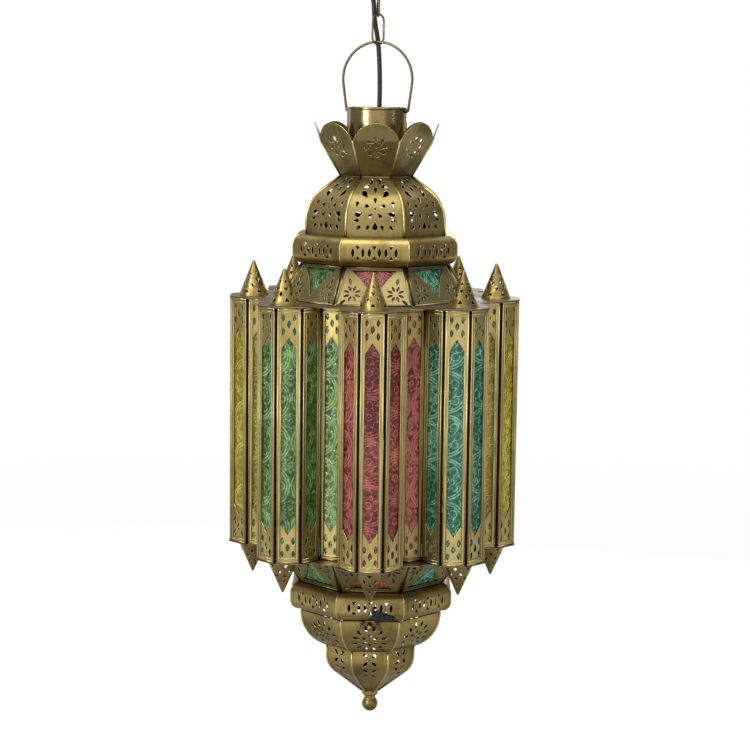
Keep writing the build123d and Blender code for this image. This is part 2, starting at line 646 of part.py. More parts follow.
def column_places():
    """Where the five glazed faces of the front column stand."""
    middle = COLUMN_Z - COLUMN_HEIGHT / 2
    places = []
    for k in (-2, -1, 0, 1, 2):
        angle = math.radians(TURN * k)
        out = (math.sin(angle), -math.cos(angle), 0)
        origin = (COLUMN_FLAT * out[0], -COLUMN_RING_R + COLUMN_FLAT * out[1], middle)
        places.append(Plane(origin=origin, x_dir=(math.cos(angle), math.sin(angle), 0), z_dir=out))
    return places


def recess_place():
    """The face between the front column and its right-hand neighbour."""
    plane = Plane(
        origin=(0, -RECESS_FRONT, COLUMN_Z - COLUMN_HEIGHT / 2), x_dir=(1, 0, 0), z_dir=(0, -1, 0),
    )
    return Rot(0, 0, TURN / 2) * plane.location


def columns():
    """The frames and panes of each column with the recess to its right."""
    face_half = (COLUMN_FLAT - PANEL_DEPTH) * SLOPE - PANEL_GAP
    face_frame, face_pane = column_panel(face_half)
    recess_frame, recess_pane = column_panel(RECESS_HALF)
    frames = [place * face_frame for place in column_places()] + [recess_place() * recess_frame]
    panes = [place * face_pane for place in column_places()] + [recess_place() * recess_pane]
    for k in range(SIDES):
        yield [Rot(0, 0, TURN * k) * f for f in frames], [Rot(0, 0, TURN * k) * p for p in panes]


def storey_plate(top):
    """A lobed plate that closes the columns, open in the middle and under each cone."""
    lobe = octagon(COLUMN_FLAT + PLATE_OVERHANG)
    outline = octagon(COLUMN_RING_R) + turned(Pos(0, -COLUMN_RING_R) * lobe)
    outline -= octagon(PLATE_OPENING)
    outline -= turned(Pos(0, -CONE_RING_R) * Circle(CONE_LIGHT_R))
    return Pos(0, 0, top - PLATE) * extrude(outline, PLATE)


def cone(radius, height):
    """A hollow pierced cone standing on its base."""
    slope = radius / height
    wall = SHEET * math.hypot(1, slope)
    tip = Line((CONE_TIP_R, height - CONE_TIP_R), (0, height))
    outer = Polyline((radius - wall, 0), (radius, 0), (CONE_TIP_R, height - CONE_TIP_R))
    inner = Polyline((0, height), (0, height - wall / slope), (radius - wall, 0))
    shell = revolve(Plane.XZ * make_face([outer, tip, inner]), Axis.Z)
    lean = math.degrees(math.atan(slope))
    half = spike(*CONE_DIAMOND_HALF)
    rise = CONE_DIAMOND_HALF[1] / 2
    diamond = Pos(0, rise) * half + Pos(0, -rise) * Rot(0, 0, 180) * half
    outlines = [spike(*CONE_FOOT_SPIKE), diamond, Rot(0, 0, 180) * spike(*CONE_DOWN_SPIKE), spike(*CONE_TOP_SPIKE)]
    step = 360 / CONE_HOLES
    starts = [0, step / 2, 0, 0]
    tools = []
    for share, start, hole in zip(CONE_ROWS, starts, outlines):
        size = 1 - CONE_SHRINK * share * share
        distance = radius * (1 - share)
        prism = extrude(scale(hole, size), 3 * SHEET, both=True)
        prism = Pos(0, -distance, share * height) * Rot(90 - lean, 0, 0) * prism
        tools += turned(prism, CONE_HOLES, step, start)
    return shell - tools


def upper_cones():
    return turned(Pos(0, -CONE_RING_R, TOP_PLATE_Z) * cone(UPPER_CONE_R, UPPER_CONE_HEIGHT))


def lower_cones():
    hanging = Rot(180, 0, 0) * cone(LOWER_CONE_R, LOWER_CONE_HEIGHT)
    return turned(Pos(0, -CONE_RING_R, LOWER_SHOULDER_Z) * hanging)


# Bowl door
def bowl_upper():
    radius = round_radius(BOWL_RUN, BOWL_UPPER_HEIGHT)
    centre = BOWL_TOP - radius
    lip = BOWL_STEP - BOWL_LIP
    lip_z = BOWL_Z - math.sqrt(radius**2 - (lip - centre)**2)
    curve = TangentArc((BOWL_TOP, BOWL_Z), (lip, lip_z), tangent=(0, -1))
    gore = long_section(sheet(curve, Side.RIGHT)) & wedge(lip_z - SHEET, BOWL_Z)
    flower = [Circle(BOWL_DOT_R)]
    flower += rosette(leaf(*BOWL_INNER_LEAF), BOWL_INNER_LEAVES, BOWL_INNER_R)
    flower += rosette(leaf(*BOWL_OUTER_LEAF), BOWL_OUTER_LEAVES, BOWL_OUTER_R, start=75)
    turn = math.radians(BOWL_FLOWER_TURN)
    distance = centre + radius * math.cos(turn)
    height = BOWL_Z - radius * math.sin(turn)
    front, *others = turned(pierce(gore, flower, distance, height, -BOWL_FLOWER_TURN))
    stem_hole = Rot(90, 0, 0) * Cylinder(KNOB_STEM_R + THREAD_FIT, 8 * SHEET)
    return [front - Pos(0, -BOWL_TOP, KNOB_Z) * stem_hole, *others]


def bowl_lower():
    """A skirt, a round and a slant, with a cross of leaves on the skirt and another on the round."""
    skirt = (BOWL_STEP, LOWER_TIER_Z - LOWER_TIER_SKIRT)
    knee = (LOWER_TIER_KNEE, LOWER_TIER_Z - LOWER_TIER_KNEE_DROP)
    upright_part = Line((BOWL_STEP, LOWER_TIER_Z), skirt)
    round_part = TangentArc(skirt, knee, tangent=(0, -1))
    slant = Line(knee, (LOWER_TIER_FOOT, FINIAL_Z))
    curve = Curve() + [upright_part, round_part, slant]
    gore = long_section(sheet(curve, Side.RIGHT)) & wedge(FINIAL_Z, LOWER_TIER_Z)
    dot = Circle(DOT_R)
    cross = rosette(leaf(*CROSS_LEAF), CROSS_LEAVES, CROSS_R, start=45) + [dot]
    gore = pierce(gore, cross, BOWL_STEP, LOWER_TIER_Z - CROSS_DROP)
    low_cross = rosette(leaf(*LOW_CROSS_LEAF), CROSS_LEAVES, LOW_CROSS_R, start=45) + [dot]
    fall = LOWER_TIER_KNEE_DROP - LOWER_TIER_SKIRT
    radius = round_radius(LOWER_TIER_KNEE_RUN, fall)
    turn = LOW_CROSS_SHARE * math.atan2(fall, radius - LOWER_TIER_KNEE_RUN)
    distance = BOWL_STEP - radius * (1 - math.cos(turn))
    height = skirt[1] - radius * math.sin(turn)
    return turned(pierce(gore, low_cross, distance, height, -math.degrees(turn)))


def lower_tier_inside(distance):
    """Height of the lower tier's inner face at a side distance on its slant."""
    run = LOWER_TIER_KNEE - LOWER_TIER_FOOT
    rise = LOWER_TIER_HEIGHT - LOWER_TIER_KNEE_DROP
    across = SHEET * math.hypot(run, rise) / rise
    return FINIAL_Z + (distance + across - LOWER_TIER_FOOT) * rise / run


def finial():
    """A turned collar, waist and ball on a threaded stud."""
    collar_foot = FINIAL_Z - FINIAL_COLLAR
    ball_z = collar_foot - FINIAL_WAIST - math.sqrt(FINIAL_BALL_R**2 - FINIAL_WAIST_R**2)
    stud_top = lower_tier_inside(NUT_R) + NUT_SEAT + NUT_HEIGHT
    turning = upright((0, 0, collar_foot), FINIAL_COLLAR_R, FINIAL_COLLAR)
    turning = fillet(turning.edges().group_by(Axis.Z)[0], FINIAL_COLLAR / 3)
    waist = upright((0, 0, ball_z), FINIAL_WAIST_R, collar_foot - ball_z)
    stud = upright((0, 0, FINIAL_Z), FINIAL_STUD_R, stud_top - FINIAL_Z)
    return turning + waist + stud + Pos(0, 0, ball_z) * Sphere(FINIAL_BALL_R)


def finial_nut():
    foot = lower_tier_inside(NUT_R) + NUT_SEAT
    thread = upright((0, 0, foot), FINIAL_STUD_R + THREAD_FIT, NUT_HEIGHT)
    return upright((0, 0, foot), NUT_R, NUT_HEIGHT) - thread


# Catch and hinge of the bowl
def catch_knob():
    """A ball on a stem riveted through the front of the bowl."""
    ball_y = -BOWL_TOP - KNOB_REACH
    head_y = -BOWL_TOP + KNOB_HEAD_IN
    along = Rot(-90, 0, 0)
    stem = Pos(0, ball_y, KNOB_Z) * along * upright((0, 0, 0), KNOB_STEM_R, head_y - ball_y)
    head = Pos(0, head_y, KNOB_Z) * along * upright((0, 0, 0), KNOB_HEAD_R, KNOB_HEAD)
    return stem + head + Pos(0, ball_y, KNOB_Z) * Sphere(KNOB_BALL_R)


def catch_clip():
    """A sprung loop on a tab under the band, which arches over the knob's stem."""
    outer_y = -BOWL_TOP - CLIP_STAND
    tab = Pos(0, outer_y, LOWER_BAND_FOOT_Z - CLIP_THICK) * Box(
        CLIP_TAB, -BAND_LEDGE - outer_y, CLIP_THICK, align=(Align.CENTER, Align.MIN, Align.MIN),
    )
    inner = CLIP_R - CLIP_STRIP
    outside = ThreePointArc((-CLIP_R, 0), (0, CLIP_R), (CLIP_R, 0))
    inside = ThreePointArc((inner, 0), (0, inner), (-inner, 0))
    ends = [
        Polyline((s * CLIP_R, 0), (s * CLIP_R, -CLIP_LEG), (s * inner, -CLIP_LEG), (s * inner, 0)) for s in (-1, 1)
    ]
    plane = Plane(origin=(0, outer_y, LOWER_BAND_FOOT_Z - CLIP_R), x_dir=(1, 0, 0), z_dir=(0, -1, 0))
    return tab + extrude(plane * make_face([outside, inside, *ends]), -CLIP_THICK)


def knuckle(start, bore_r):
    """A hinge barrel along X from a start."""
    barrel = Cylinder(HINGE_R, KNUCKLE, align=(Align.CENTER, Align.CENTER, Align.MIN))
    bore = Cylinder(bore_r, KNUCKLE, align=(Align.CENTER, Align.CENTER, Align.MIN))
    return Pos(start, HINGE_Y, HINGE_Z) * Rot(0, 90, 0) * (barrel - bore)


def hinge_leaf_fixed():
    """Two knuckles on a tongue that lies under the lower band."""
    tongue = Pos(0, BAND_LEDGE, LOWER_BAND_FOOT_Z - LEAF_THICK) * Box(
        HINGE_SPAN, HINGE_Y - BAND_LEDGE, LEAF_THICK, align=(Align.CENTER, Align.MIN, Align.MIN),
    )
    middle = Pos(0, HINGE_Y, HINGE_Z) * Box(KNUCKLE + 2 * HINGE_SIDE_FIT, 4 * HINGE_R, 4 * HINGE_R)
    bore = Pos(0, HINGE_Y, HINGE_Z) * Rot(0, 90, 0) * Cylinder(HINGE_PIN_R, HINGE_SPAN)
    barrels = [knuckle(-HINGE_SPAN / 2, HINGE_PIN_R), knuckle(HINGE_SPAN / 2 - KNUCKLE, HINGE_PIN_R)]
    return tongue - middle + barrels - bore


def hinge_leaf_door():
    """One knuckle on a plate against the back of the bowl."""
    standing = (Align.CENTER, Align.MIN, Align.MIN)
    web = Pos(0, BOWL_TOP, HINGE_Z - LEAF_THICK) * Box(KNUCKLE, HINGE_OUT, LEAF_THICK, align=standing)
    foot = Pos(0, BOWL_TOP, HINGE_Z - LEAF_LENGTH)
    plate = foot * Box(3 * KNUCKLE, LEAF_THICK, LEAF_LENGTH - HINGE_R, align=standing)
    strap = foot * Box(KNUCKLE, LEAF_THICK, LEAF_LENGTH, align=standing)
    bore = Pos(0, HINGE_Y, HINGE_Z) * Rot(0, 90, 0) * Cylinder(HINGE_PIN_R + HINGE_FIT, 2 * KNUCKLE)
    return web + plate + strap + knuckle(-KNUCKLE / 2, HINGE_PIN_R + HINGE_FIT) - bore


def hinge_pin():
    return Pos(0, HINGE_Y, HINGE_Z) * Rot(0, 90, 0) * Cylinder(HINGE_PIN_R, HINGE_SPAN)


# Lamp
def cord_grip():
    """A bush on the neck plate that holds the flex."""
    flange = upright((0, 0, NECK_FOOT_Z), GRIP_R, GRIP_HEIGHT)
    return flange + upright((0, 0, GRIP_FOOT_Z), GRIP_STEM_R, GRIP_STEM + PLATE)


def inner_flex():
    return upright((0, 0, HOLDER_Z), FLEX_R, FLEX_LENGTH)


def lamp_holder_cap():
    cap = upright((0, 0, SKIRT_Z), HOLDER_CAP_R, HOLDER_CAP_HEIGHT)
    return fillet(cap.edges().group_by(Axis.Z)[-1], HOLDER_CAP_R / 3)


def lamp_holder_skirt():
    skirt = upright((0, 0, SKIRT_FOOT_Z), HOLDER_R, HOLDER_HEIGHT)
    bore = upright((0, 0, SKIRT_FOOT_Z), BULB_CAP_R + BULB_ROOM, HOLDER_HEIGHT - HOLDER_ROOF)
    return skirt - bore


def bulb_cap():
    return upright((0, 0, BULB_NECK_Z), BULB_CAP_R, BULB_CAP_HEIGHT)


def bulb_glass():
    """A pear-shaped bulb: a neck, a flare and a round end."""
    centre = BULB_NECK_Z - BULB_LENGTH + BULB_R
    join = math.radians(BULB_JOIN)
    rim = (BULB_R * math.cos(join), centre + BULB_R * math.sin(join))
    neck = (BULB_CAP_R, BULB_NECK_Z)
    flare = TangentArc(rim, neck, tangent=(-math.sin(join), math.cos(join)))
    ball = ThreePointArc((0, centre - BULB_R), (BULB_R, centre), rim)
    shell = sheet(Curve() + [ball, flare], Side.LEFT, BULB_WALL)
    above = upright((0, 0, BULB_NECK_Z), BULB_R, BULB_CAP_HEIGHT)
    return revolve(Plane.XZ * shell, Axis.Z) - above


# Writing the pieces
COLOURS = ["red", "teal", "yellow", "green"]


def pieces():
    """Every node of the lantern with its solids."""
    yield "mounting_bar", mounting_bar()
    yield "canopy", canopy()
    yield "canopy_nipple", canopy_nipple()
    yield "canopy_loop", canopy_loop()
    yield "canopy_cord_gland", canopy_cord_gland()
    yield "chain_link_upper", chain_link(UPPER_LINK_Z, UPPER_LINK_TURN)
    yield "chain_link_lower", chain_link(LOWER_LINK_Z, CHAIN_TURN)
    yield "bail", bail()
    yield "cord", cord()
    yield "neck_tube", neck_tube()
    yield "neck_plate", neck_plate()
    yield "crown_petals", crown_petals()
    yield "dome_gores", dome_gores()
    yield "upper_band", band(UPPER_BAND_Z, UPPER_BAND_HEIGHT)
    yield "lower_band", band(LOWER_BAND_Z, LOWER_BAND_HEIGHT)
    upper_frame, upper_pane = shoulder(UPPER_SHOULDER_Z, False)
    lower_frame, lower_pane = shoulder(LOWER_SHOULDER_Z, True)
    yield "upper_shoulder_frames", turned(upper_frame)
    yield "lower_shoulder_frames", turned(lower_frame)
    for k, colour in enumerate(COLOURS):
        pair = (2, 180, TURN * k)
        yield "shoulder_glass_" + colour, turned(upper_pane, *pair) + turned(lower_pane, *pair)
    yield "top_plate", storey_plate(TOP_PLATE_Z)
    yield "base_plate", storey_plate(BASE_PLATE_Z)
    yield "upper_cones", upper_cones()
    yield "lower_cones", lower_cones()
    for k, (frames, panes) in enumerate(columns()):
        yield f"column_{k + 1}_panels", frames
        yield f"column_{k + 1}_glass", panes
    yield "bowl_upper", bowl_upper()
    yield "bowl_lower", bowl_lower()
    yield "finial", finial()
    yield "finial_nut", finial_nut()
    yield "catch_knob", catch_knob()
    yield "catch_clip", catch_clip()
    yield "hinge_leaf_fixed", hinge_leaf_fixed()
    yield "hinge_leaf_door", hinge_leaf_door()
    yield "hinge_pin", hinge_pin()
    yield "cord_grip", cord_grip()
    yield "inner_flex", inner_flex()
    yield "lamp_holder_cap", lamp_holder_cap()
    yield "lamp_holder_skirt", lamp_holder_skirt()
    yield "bulb_cap", bulb_cap()
    yield "bulb_glass", bulb_glass()


def solids_of(shape):
    """The separate solids of a node."""
    group = shape if isinstance(shape, list) else [shape]
    return [solid for part in group for solid in part.solids()]


os.makedirs("parts", exist_ok=True)
for name, shape in pieces():
    export_step(Compound(solids_of(shape)), f"parts/{name}.step")
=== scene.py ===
import math
import random

import bpy
import numpy as np
from mathutils import Matrix, Vector

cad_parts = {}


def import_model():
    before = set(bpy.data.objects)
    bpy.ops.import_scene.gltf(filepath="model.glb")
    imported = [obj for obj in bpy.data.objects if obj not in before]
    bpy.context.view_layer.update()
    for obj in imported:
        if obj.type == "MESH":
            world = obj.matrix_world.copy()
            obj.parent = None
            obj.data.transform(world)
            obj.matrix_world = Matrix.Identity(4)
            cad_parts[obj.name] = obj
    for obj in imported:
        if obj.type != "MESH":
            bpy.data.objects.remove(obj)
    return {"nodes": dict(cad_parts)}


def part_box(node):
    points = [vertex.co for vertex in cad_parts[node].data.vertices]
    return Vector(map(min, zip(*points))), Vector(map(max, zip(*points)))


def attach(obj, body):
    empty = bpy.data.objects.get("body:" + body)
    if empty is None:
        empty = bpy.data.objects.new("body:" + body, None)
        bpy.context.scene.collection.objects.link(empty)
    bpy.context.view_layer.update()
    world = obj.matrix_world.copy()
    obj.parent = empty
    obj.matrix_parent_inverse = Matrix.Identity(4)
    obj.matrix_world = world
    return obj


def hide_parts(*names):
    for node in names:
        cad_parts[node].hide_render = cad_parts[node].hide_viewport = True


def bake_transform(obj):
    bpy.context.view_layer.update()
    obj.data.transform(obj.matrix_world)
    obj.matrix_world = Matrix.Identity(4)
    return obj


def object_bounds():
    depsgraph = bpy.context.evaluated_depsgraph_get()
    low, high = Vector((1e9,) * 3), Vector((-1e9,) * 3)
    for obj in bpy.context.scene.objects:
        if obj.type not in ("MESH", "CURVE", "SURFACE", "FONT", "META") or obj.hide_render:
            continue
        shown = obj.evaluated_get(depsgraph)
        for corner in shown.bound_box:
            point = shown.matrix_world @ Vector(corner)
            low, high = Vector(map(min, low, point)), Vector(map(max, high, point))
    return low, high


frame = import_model()
cad_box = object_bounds()
NODES = frame["nodes"]
MM = 0.001
SIDES = 8
TURN = math.tau / SIDES
SLOPE = math.tan(TURN / 2)

# Camera of the photograph: metres from the axis, angles, sideways shift and lens
CAMERA_DISTANCE = 2.2027
CAMERA_HEIGHT = -0.1685
CAMERA_PITCH = math.radians(-8.257)
CAMERA_ROLL = math.radians(0.72)
CAMERA_TURN = math.radians(0.6)
CAMERA_SIDE = 0.0013
CAMERA_LENS = 95.3

# Route of the flex, which leans to the right below the bail
CORD_POINTS = [
    (-12.0, 9.0, -41.0),
    (-12.0, 9.0, -54.0),
    (-4.7, 2.0, -76.0),
    (-4.4, 3.0, -95.0),
    (0.6, 6.4, -120.0),
    (2.6, 3.2, -156.0),
    (2.6, 1.0, -192.0),
    (0.0, 0.0, -230.0),
    (0.0, 0.0, -258.0),
]
CORD_RADIUS = 2.6 * MM
CORD_SIDES = 16

# Glazed panels, in millimetres until a mesh is made
PANEL_DEPTH = 4.0
PANEL_GAP = 0.2
RAIL = 4.4
END_RAIL = 6.0
POCKET_WALL = 2.0
PANE_FIT = 0.1
PANE_SINK = 1.8         # panel front to pane front
GLASS = 2.0
RELIEF = 0.6            # depth of the rolled pattern
PATTERN_PITCH = 47.0
RECESS_SET = 1.0
RECESS_LAP = 1.2
RECESS_PALER = 0.4      # added to the relief: painted light that makes the recess panes paler
COLOURS = ["red", "teal", "yellow", "green"]


# Node trees
def new_material(name):
    """A material, its tree and its Principled shader."""
    material = bpy.data.materials.new(name)
    material.use_nodes = True
    return material, material.node_tree, material.node_tree.nodes["Principled BSDF"]


def put(tree, value, socket):
    """Set a socket to a number or colour, or link another socket to it."""
    if isinstance(value, bpy.types.NodeSocket):
        tree.links.new(value, socket)
    else:
        socket.default_value = value


def add(tree, kind, settings=None, **inputs):
    """A node with its settings and inputs; an underscore in an input's name stands for a space."""
    made = tree.nodes.new("ShaderNode" + kind)
    for key, value in (settings or {}).items():
        setattr(made, key, value)
    for key, value in inputs.items():
        put(tree, value, made.inputs[key.replace("_", " ")])
    return made


def maths(tree, operation, first, second=0.0, clamp=False):
    made = add(tree, "Math", {"operation": operation, "use_clamp": clamp})
    put(tree, first, made.inputs[0])
    put(tree, second, made.inputs[1])
    return made.outputs[0]


def ranged(tree, value, low, high, to_low=0.0, to_high=1.0):
    """A value mapped from one range to another, held at its ends."""
    made = add(tree, "MapRange", Value=value, From_Min=low, From_Max=high, To_Min=to_low, To_Max=to_high)
    return made.outputs["Result"]


def mixed(tree, factor, first, second):
    """A colour between two colours."""
    made = add(tree, "Mix", {"data_type": "RGBA"})
    put(tree, factor, made.inputs["Factor"])
    put(tree, first, made.inputs[6])
    put(tree, second, made.inputs[7])
    return made.outputs[2]


def vectors(tree, operation, first, second=None):
    """Vector arithmetic: a vector, or a number where the operation gives one."""
    made = add(tree, "VectorMath", {"operation": operation})
    put(tree, first, made.inputs[0])
    if second is not None:
        put(tree, second, made.inputs[1])
    return made.outputs["Value" if operation in ("DOT_PRODUCT", "LENGTH") else "Vector"]


NOISE_ROUGHNESS = 0.55


def noise(tree, place, scale, detail=3.0, stretch=None):
    """Noise in metres of the object's own frame."""
    if stretch:
        place = add(tree, "Mapping", Vector=place, Scale=stretch).outputs["Vector"]
    made = add(tree, "TexNoise", Vector=place, Scale=scale, Detail=detail, Roughness=NOISE_ROUGHNESS)
    return made.outputs["Fac"]


def object_place(tree):
    return add(tree, "TexCoord").outputs["Object"]


def facing(tree):
    return add(tree, "NewGeometry").outputs["Normal"]


# Metals
# Radius that rounds edges, for the shading normal and for the bright edges, which are wear and painted
# highlight
EDGE_ROUNDING = 0.7 * MM
EDGE_COSINE = (0.995, 0.93)             # rounded to flat normal, from none to full wear and painted highlight
CREVICE_REACH = 9 * MM
CREVICE_AIR = (0.8, 0.35)               # open share of the air near a point, from clean to grimy and in full painted shade
INWARD = (-0.15, -0.35)                 # cosine to the way out from the axis, from no painted shade to full painted shade
CLOUD_SCALE = 24
BRUSH_SCALE = 520
BRUSH_STRETCH = (1, 1, 0.06)
SPECK_SCALE = 900
CLOUDED = (0.42, 0.68)                  # noise, from clean metal to full patina
BRUSHED = (0.4, 0.7, -0.12, 0.18)       # noise, and the patina that it takes off or adds
PATCHY = (0.3, 0.6, 0.55, 1.0)          # noise, and the share of edge wear and painted highlight that shows
SPECKLED = (0.3, 0.7)                   # noise, from the smoothest to the roughest
SPECK_ROUGHNESS = (-0.04, 0.06)
SOIL_ROUGHNESS = 0.14
GRAIN_STRENGTH = 0.12
GRAIN_DEPTH = 0.2 * MM
# Grime and painted shade in crevices
GRIME_AND_SHADE = (0.03, 0.02, 0.007, 1)
# Painted shade on faces that look in towards the axis
INSIDE_SHADE = (0.012, 0.009, 0.005, 1)


def facing_in(tree, place):
    """One on faces that look at the lantern's axis, nought on those that look away from it."""
    to_object = {"vector_type": "NORMAL", "convert_from": "WORLD", "convert_to": "OBJECT"}
    normal = add(tree, "VectorTransform", to_object, Vector=facing(tree)).outputs["Vector"]
    outward = vectors(tree, "NORMALIZE", vectors(tree, "MULTIPLY", place, (1, 1, 0)))
    return ranged(tree, vectors(tree, "DOT_PRODUCT", normal, outward), *INWARD)


def brass(name, dull, mid, worn_and_highlight, roughness, patina, shaded_inside=False):
    """Aged brass: cloudy patina, crevices darkened with grime and painted shade, brushing, bright edges of
    wear and painted highlight and, on request, painted shade on faces that look in.
    """
    material, tree, shader = new_material(name)
    place = object_place(tree)
    cloud = noise(tree, place, CLOUD_SCALE, detail=5)
    brushing = noise(tree, place, BRUSH_SCALE, detail=2, stretch=BRUSH_STRETCH)
    speck = noise(tree, place, SPECK_SCALE, detail=2)
    rounded = add(tree, "Bevel", {"samples": 4}, Radius=EDGE_ROUNDING).outputs["Normal"]
    edge = ranged(tree, vectors(tree, "DOT_PRODUCT", rounded, facing(tree)), *EDGE_COSINE)
    # Occlusion darkens crevices: grime and painted shade
    open_air = add(tree, "AmbientOcclusion", {"samples": 4}, Distance=CREVICE_REACH).outputs["AO"]
    crevice_grime_and_shade = ranged(tree, open_air, *CREVICE_AIR)
    cloudy = maths(tree, "ADD", ranged(tree, cloud, *CLOUDED), ranged(tree, brushing, *BRUSHED))
    age = maths(tree, "MULTIPLY", cloudy, patina, clamp=True)
    # Bright edges: wear and painted highlight
    wear_and_highlight = maths(tree, "MULTIPLY", edge, ranged(tree, cloud, *PATCHY), clamp=True)
    colour = mixed(tree, wear_and_highlight, mixed(tree, age, mid, dull), worn_and_highlight)
    colour = mixed(tree, crevice_grime_and_shade, colour, GRIME_AND_SHADE)
    # Painted shade on faces that look in towards the axis
    if shaded_inside:
        colour = mixed(tree, facing_in(tree, place), colour, INSIDE_SHADE)
    put(tree, colour, shader.inputs["Base Color"])
    shader.inputs["Metallic"].default_value = 1.0
    soiled = maths(tree, "MULTIPLY", maths(tree, "MAXIMUM", age, crevice_grime_and_shade), SOIL_ROUGHNESS)
    low, high = (roughness + change for change in SPECK_ROUGHNESS)
    speckled = ranged(tree, speck, *SPECKLED, low, high)
    put(tree, maths(tree, "ADD", speckled, soiled), shader.inputs["Roughness"])
    grain = add(tree, "Bump",
                Strength=GRAIN_STRENGTH, Distance=GRAIN_DEPTH, Height=brushing, Normal=rounded)
    put(tree, grain.outputs["Normal"], shader.inputs["Normal"])
    return material


STEEL_SCALE = 160
STEEL_CLOUDED = (0.4, 0.7)              # noise, from the first colour to the second
STEEL_ROUGHNESS = (-0.08, 0.1)


def dark_metal(name, colour, sheen_colour, roughness):
    """Blackened or plated metal with cloudy wear."""
    material, tree, shader = new_material(name)
    cloud = noise(tree, object_place(tree), STEEL_SCALE, detail=4)
    clouded = mixed(tree, ranged(tree, cloud, *STEEL_CLOUDED), colour, sheen_colour)
    put(tree, clouded, shader.inputs["Base Color"])
    shader.inputs["Metallic"].default_value = 1.0
    low, high = (roughness + change for change in STEEL_ROUGHNESS)
    put(tree, ranged(tree, cloud, *SPECKLED, low, high), shader.inputs["Roughness"])
    return material


# Glass and plastics
STREAK_SCALE = 30
STREAK_STRETCH = (1, 1, 0.35)
MOTTLE_SCALE = 150
STIPPLE_SCALE = 520
STIPPLE_SMOOTHNESS = 0.3
STIPPLE_STRENGTH = 0.45
STIPPLE_DEPTH = 0.5 * MM
GLASS_CLEARNESS = 0.66
RELIEF_HIGHLIGHT = (0.25, 1.2, 0.0, 1.1)    # relief, and how much paler the glass is painted there, as a painted highlight
STREAK_PALES = (0.35, 0.65, -0.2, 0.3)  # the same for each noise
MOTTLE_PALES = (0.36, 0.64, -0.17, 0.23)
STIPPLE_PALES = (0.1, 0.7, 0.22, -0.12)


def coloured_glass(name, deep, light):
    """Rolled cathedral glass: streaky colour, a painted highlight along the raised pattern, with a stippled
    ground.
    """
    material, tree, shader = new_material(name)
    place = object_place(tree)
    streak = noise(tree, place, STREAK_SCALE, detail=4, stretch=STREAK_STRETCH)
    mottle = noise(tree, place, MOTTLE_SCALE)
    stipple = add(tree, "TexVoronoi", {"feature": "SMOOTH_F1"},
                  Vector=place, Scale=STIPPLE_SCALE, Smoothness=STIPPLE_SMOOTHNESS)
    dots = stipple.outputs["Distance"]
    raised = add(tree, "Attribute", {"attribute_name": "relief"}).outputs["Fac"]
    # Paler glass along the raised pattern is a painted highlight; streaks, mottle and stipple are the
    # glass's own tone
    paleness_and_highlight = maths(tree, "ADD", ranged(tree, raised, *RELIEF_HIGHLIGHT), ranged(tree, streak, *STREAK_PALES))
    paleness_and_highlight = maths(tree, "ADD", paleness_and_highlight, ranged(tree, mottle, *MOTTLE_PALES))
    paleness_and_highlight = maths(tree, "ADD", paleness_and_highlight, ranged(tree, dots, *STIPPLE_PALES), clamp=True)
    put(tree, mixed(tree, paleness_and_highlight, deep, light), shader.inputs["Base Color"])
    shader.inputs["Transmission Weight"].default_value = GLASS_CLEARNESS
    shader.inputs["Roughness"].default_value = 0.1
    shader.inputs["IOR"].default_value = 1.5
    bump = add(tree, "Bump", Strength=STIPPLE_STRENGTH, Distance=STIPPLE_DEPTH, Height=dots)
    put(tree, bump.outputs["Normal"], shader.inputs["Normal"])
    return material


FROST_SCALE = 90


def clear_glass(name):
    material, tree, shader = new_material(name)
    frost = noise(tree, object_place(tree), FROST_SCALE)
    put(tree, mixed(tree, frost, (0.9, 0.9, 0.88, 1), (0.97, 0.97, 0.95, 1)), shader.inputs["Base Color"])
    shader.inputs["Transmission Weight"].default_value = 1.0
    shader.inputs["Roughness"].default_value = 0.06
    shader.inputs["IOR"].default_value = 1.45
    return material


SKIN_CLOUDED = (0.4, 0.75)              # noise, from the first colour to the second
SKIN_ROUGHNESS = (-0.06, 0.1)
SKIN_SPECULAR = 0.28
SKIN_STRENGTH = 0.15
SKIN_DEPTH = 0.1 * MM


def black_plastic(name, colour, grey, roughness, scale):
    """Dark moulded plastic or rubber with a fine uneven skin."""
    material, tree, shader = new_material(name)
    skin = noise(tree, object_place(tree), scale, detail=4)
    put(tree, mixed(tree, ranged(tree, skin, *SKIN_CLOUDED), colour, grey), shader.inputs["Base Color"])
    low, high = (roughness + change for change in SKIN_ROUGHNESS)
    put(tree, ranged(tree, skin, *SPECKLED, low, high), shader.inputs["Roughness"])
    shader.inputs["Specular IOR Level"].default_value = SKIN_SPECULAR
    bump = add(tree, "Bump", Strength=SKIN_STRENGTH, Distance=SKIN_DEPTH, Height=skin)
    put(tree, bump.outputs["Normal"], shader.inputs["Normal"])
    return material


# Brasses: dull, middle and worn colours, the worn one also painting edge highlights, roughness and share of
# patina
ANTIQUE = brass(
    "antique_brass", (0.085, 0.056, 0.016, 1), (0.38, 0.285, 0.095, 1), (0.9, 0.74, 0.32, 1), 0.3, 0.75)
CROWN_BRASS = brass(
    "crown_brass", (0.055, 0.042, 0.015, 1), (0.24, 0.195, 0.075, 1), (0.9, 0.76, 0.34, 1), 0.3, 0.8)
PIERCED = brass(
    "pierced_brass", (0.085, 0.062, 0.02, 1), (0.33, 0.26, 0.095, 1), (0.9, 0.74, 0.32, 1), 0.43, 0.7,
    shaded_inside=True)
BAND_BRASS = brass(
    "band_brass", (0.1, 0.066, 0.019, 1), (0.41, 0.31, 0.105, 1), (0.9, 0.74, 0.32, 1), 0.33, 0.7,
    shaded_inside=True)
KHAKI = brass(
    "khaki_brass", (0.12, 0.09, 0.032, 1), (0.33, 0.265, 0.11, 1), (0.8, 0.66, 0.3, 1), 0.36, 0.6)
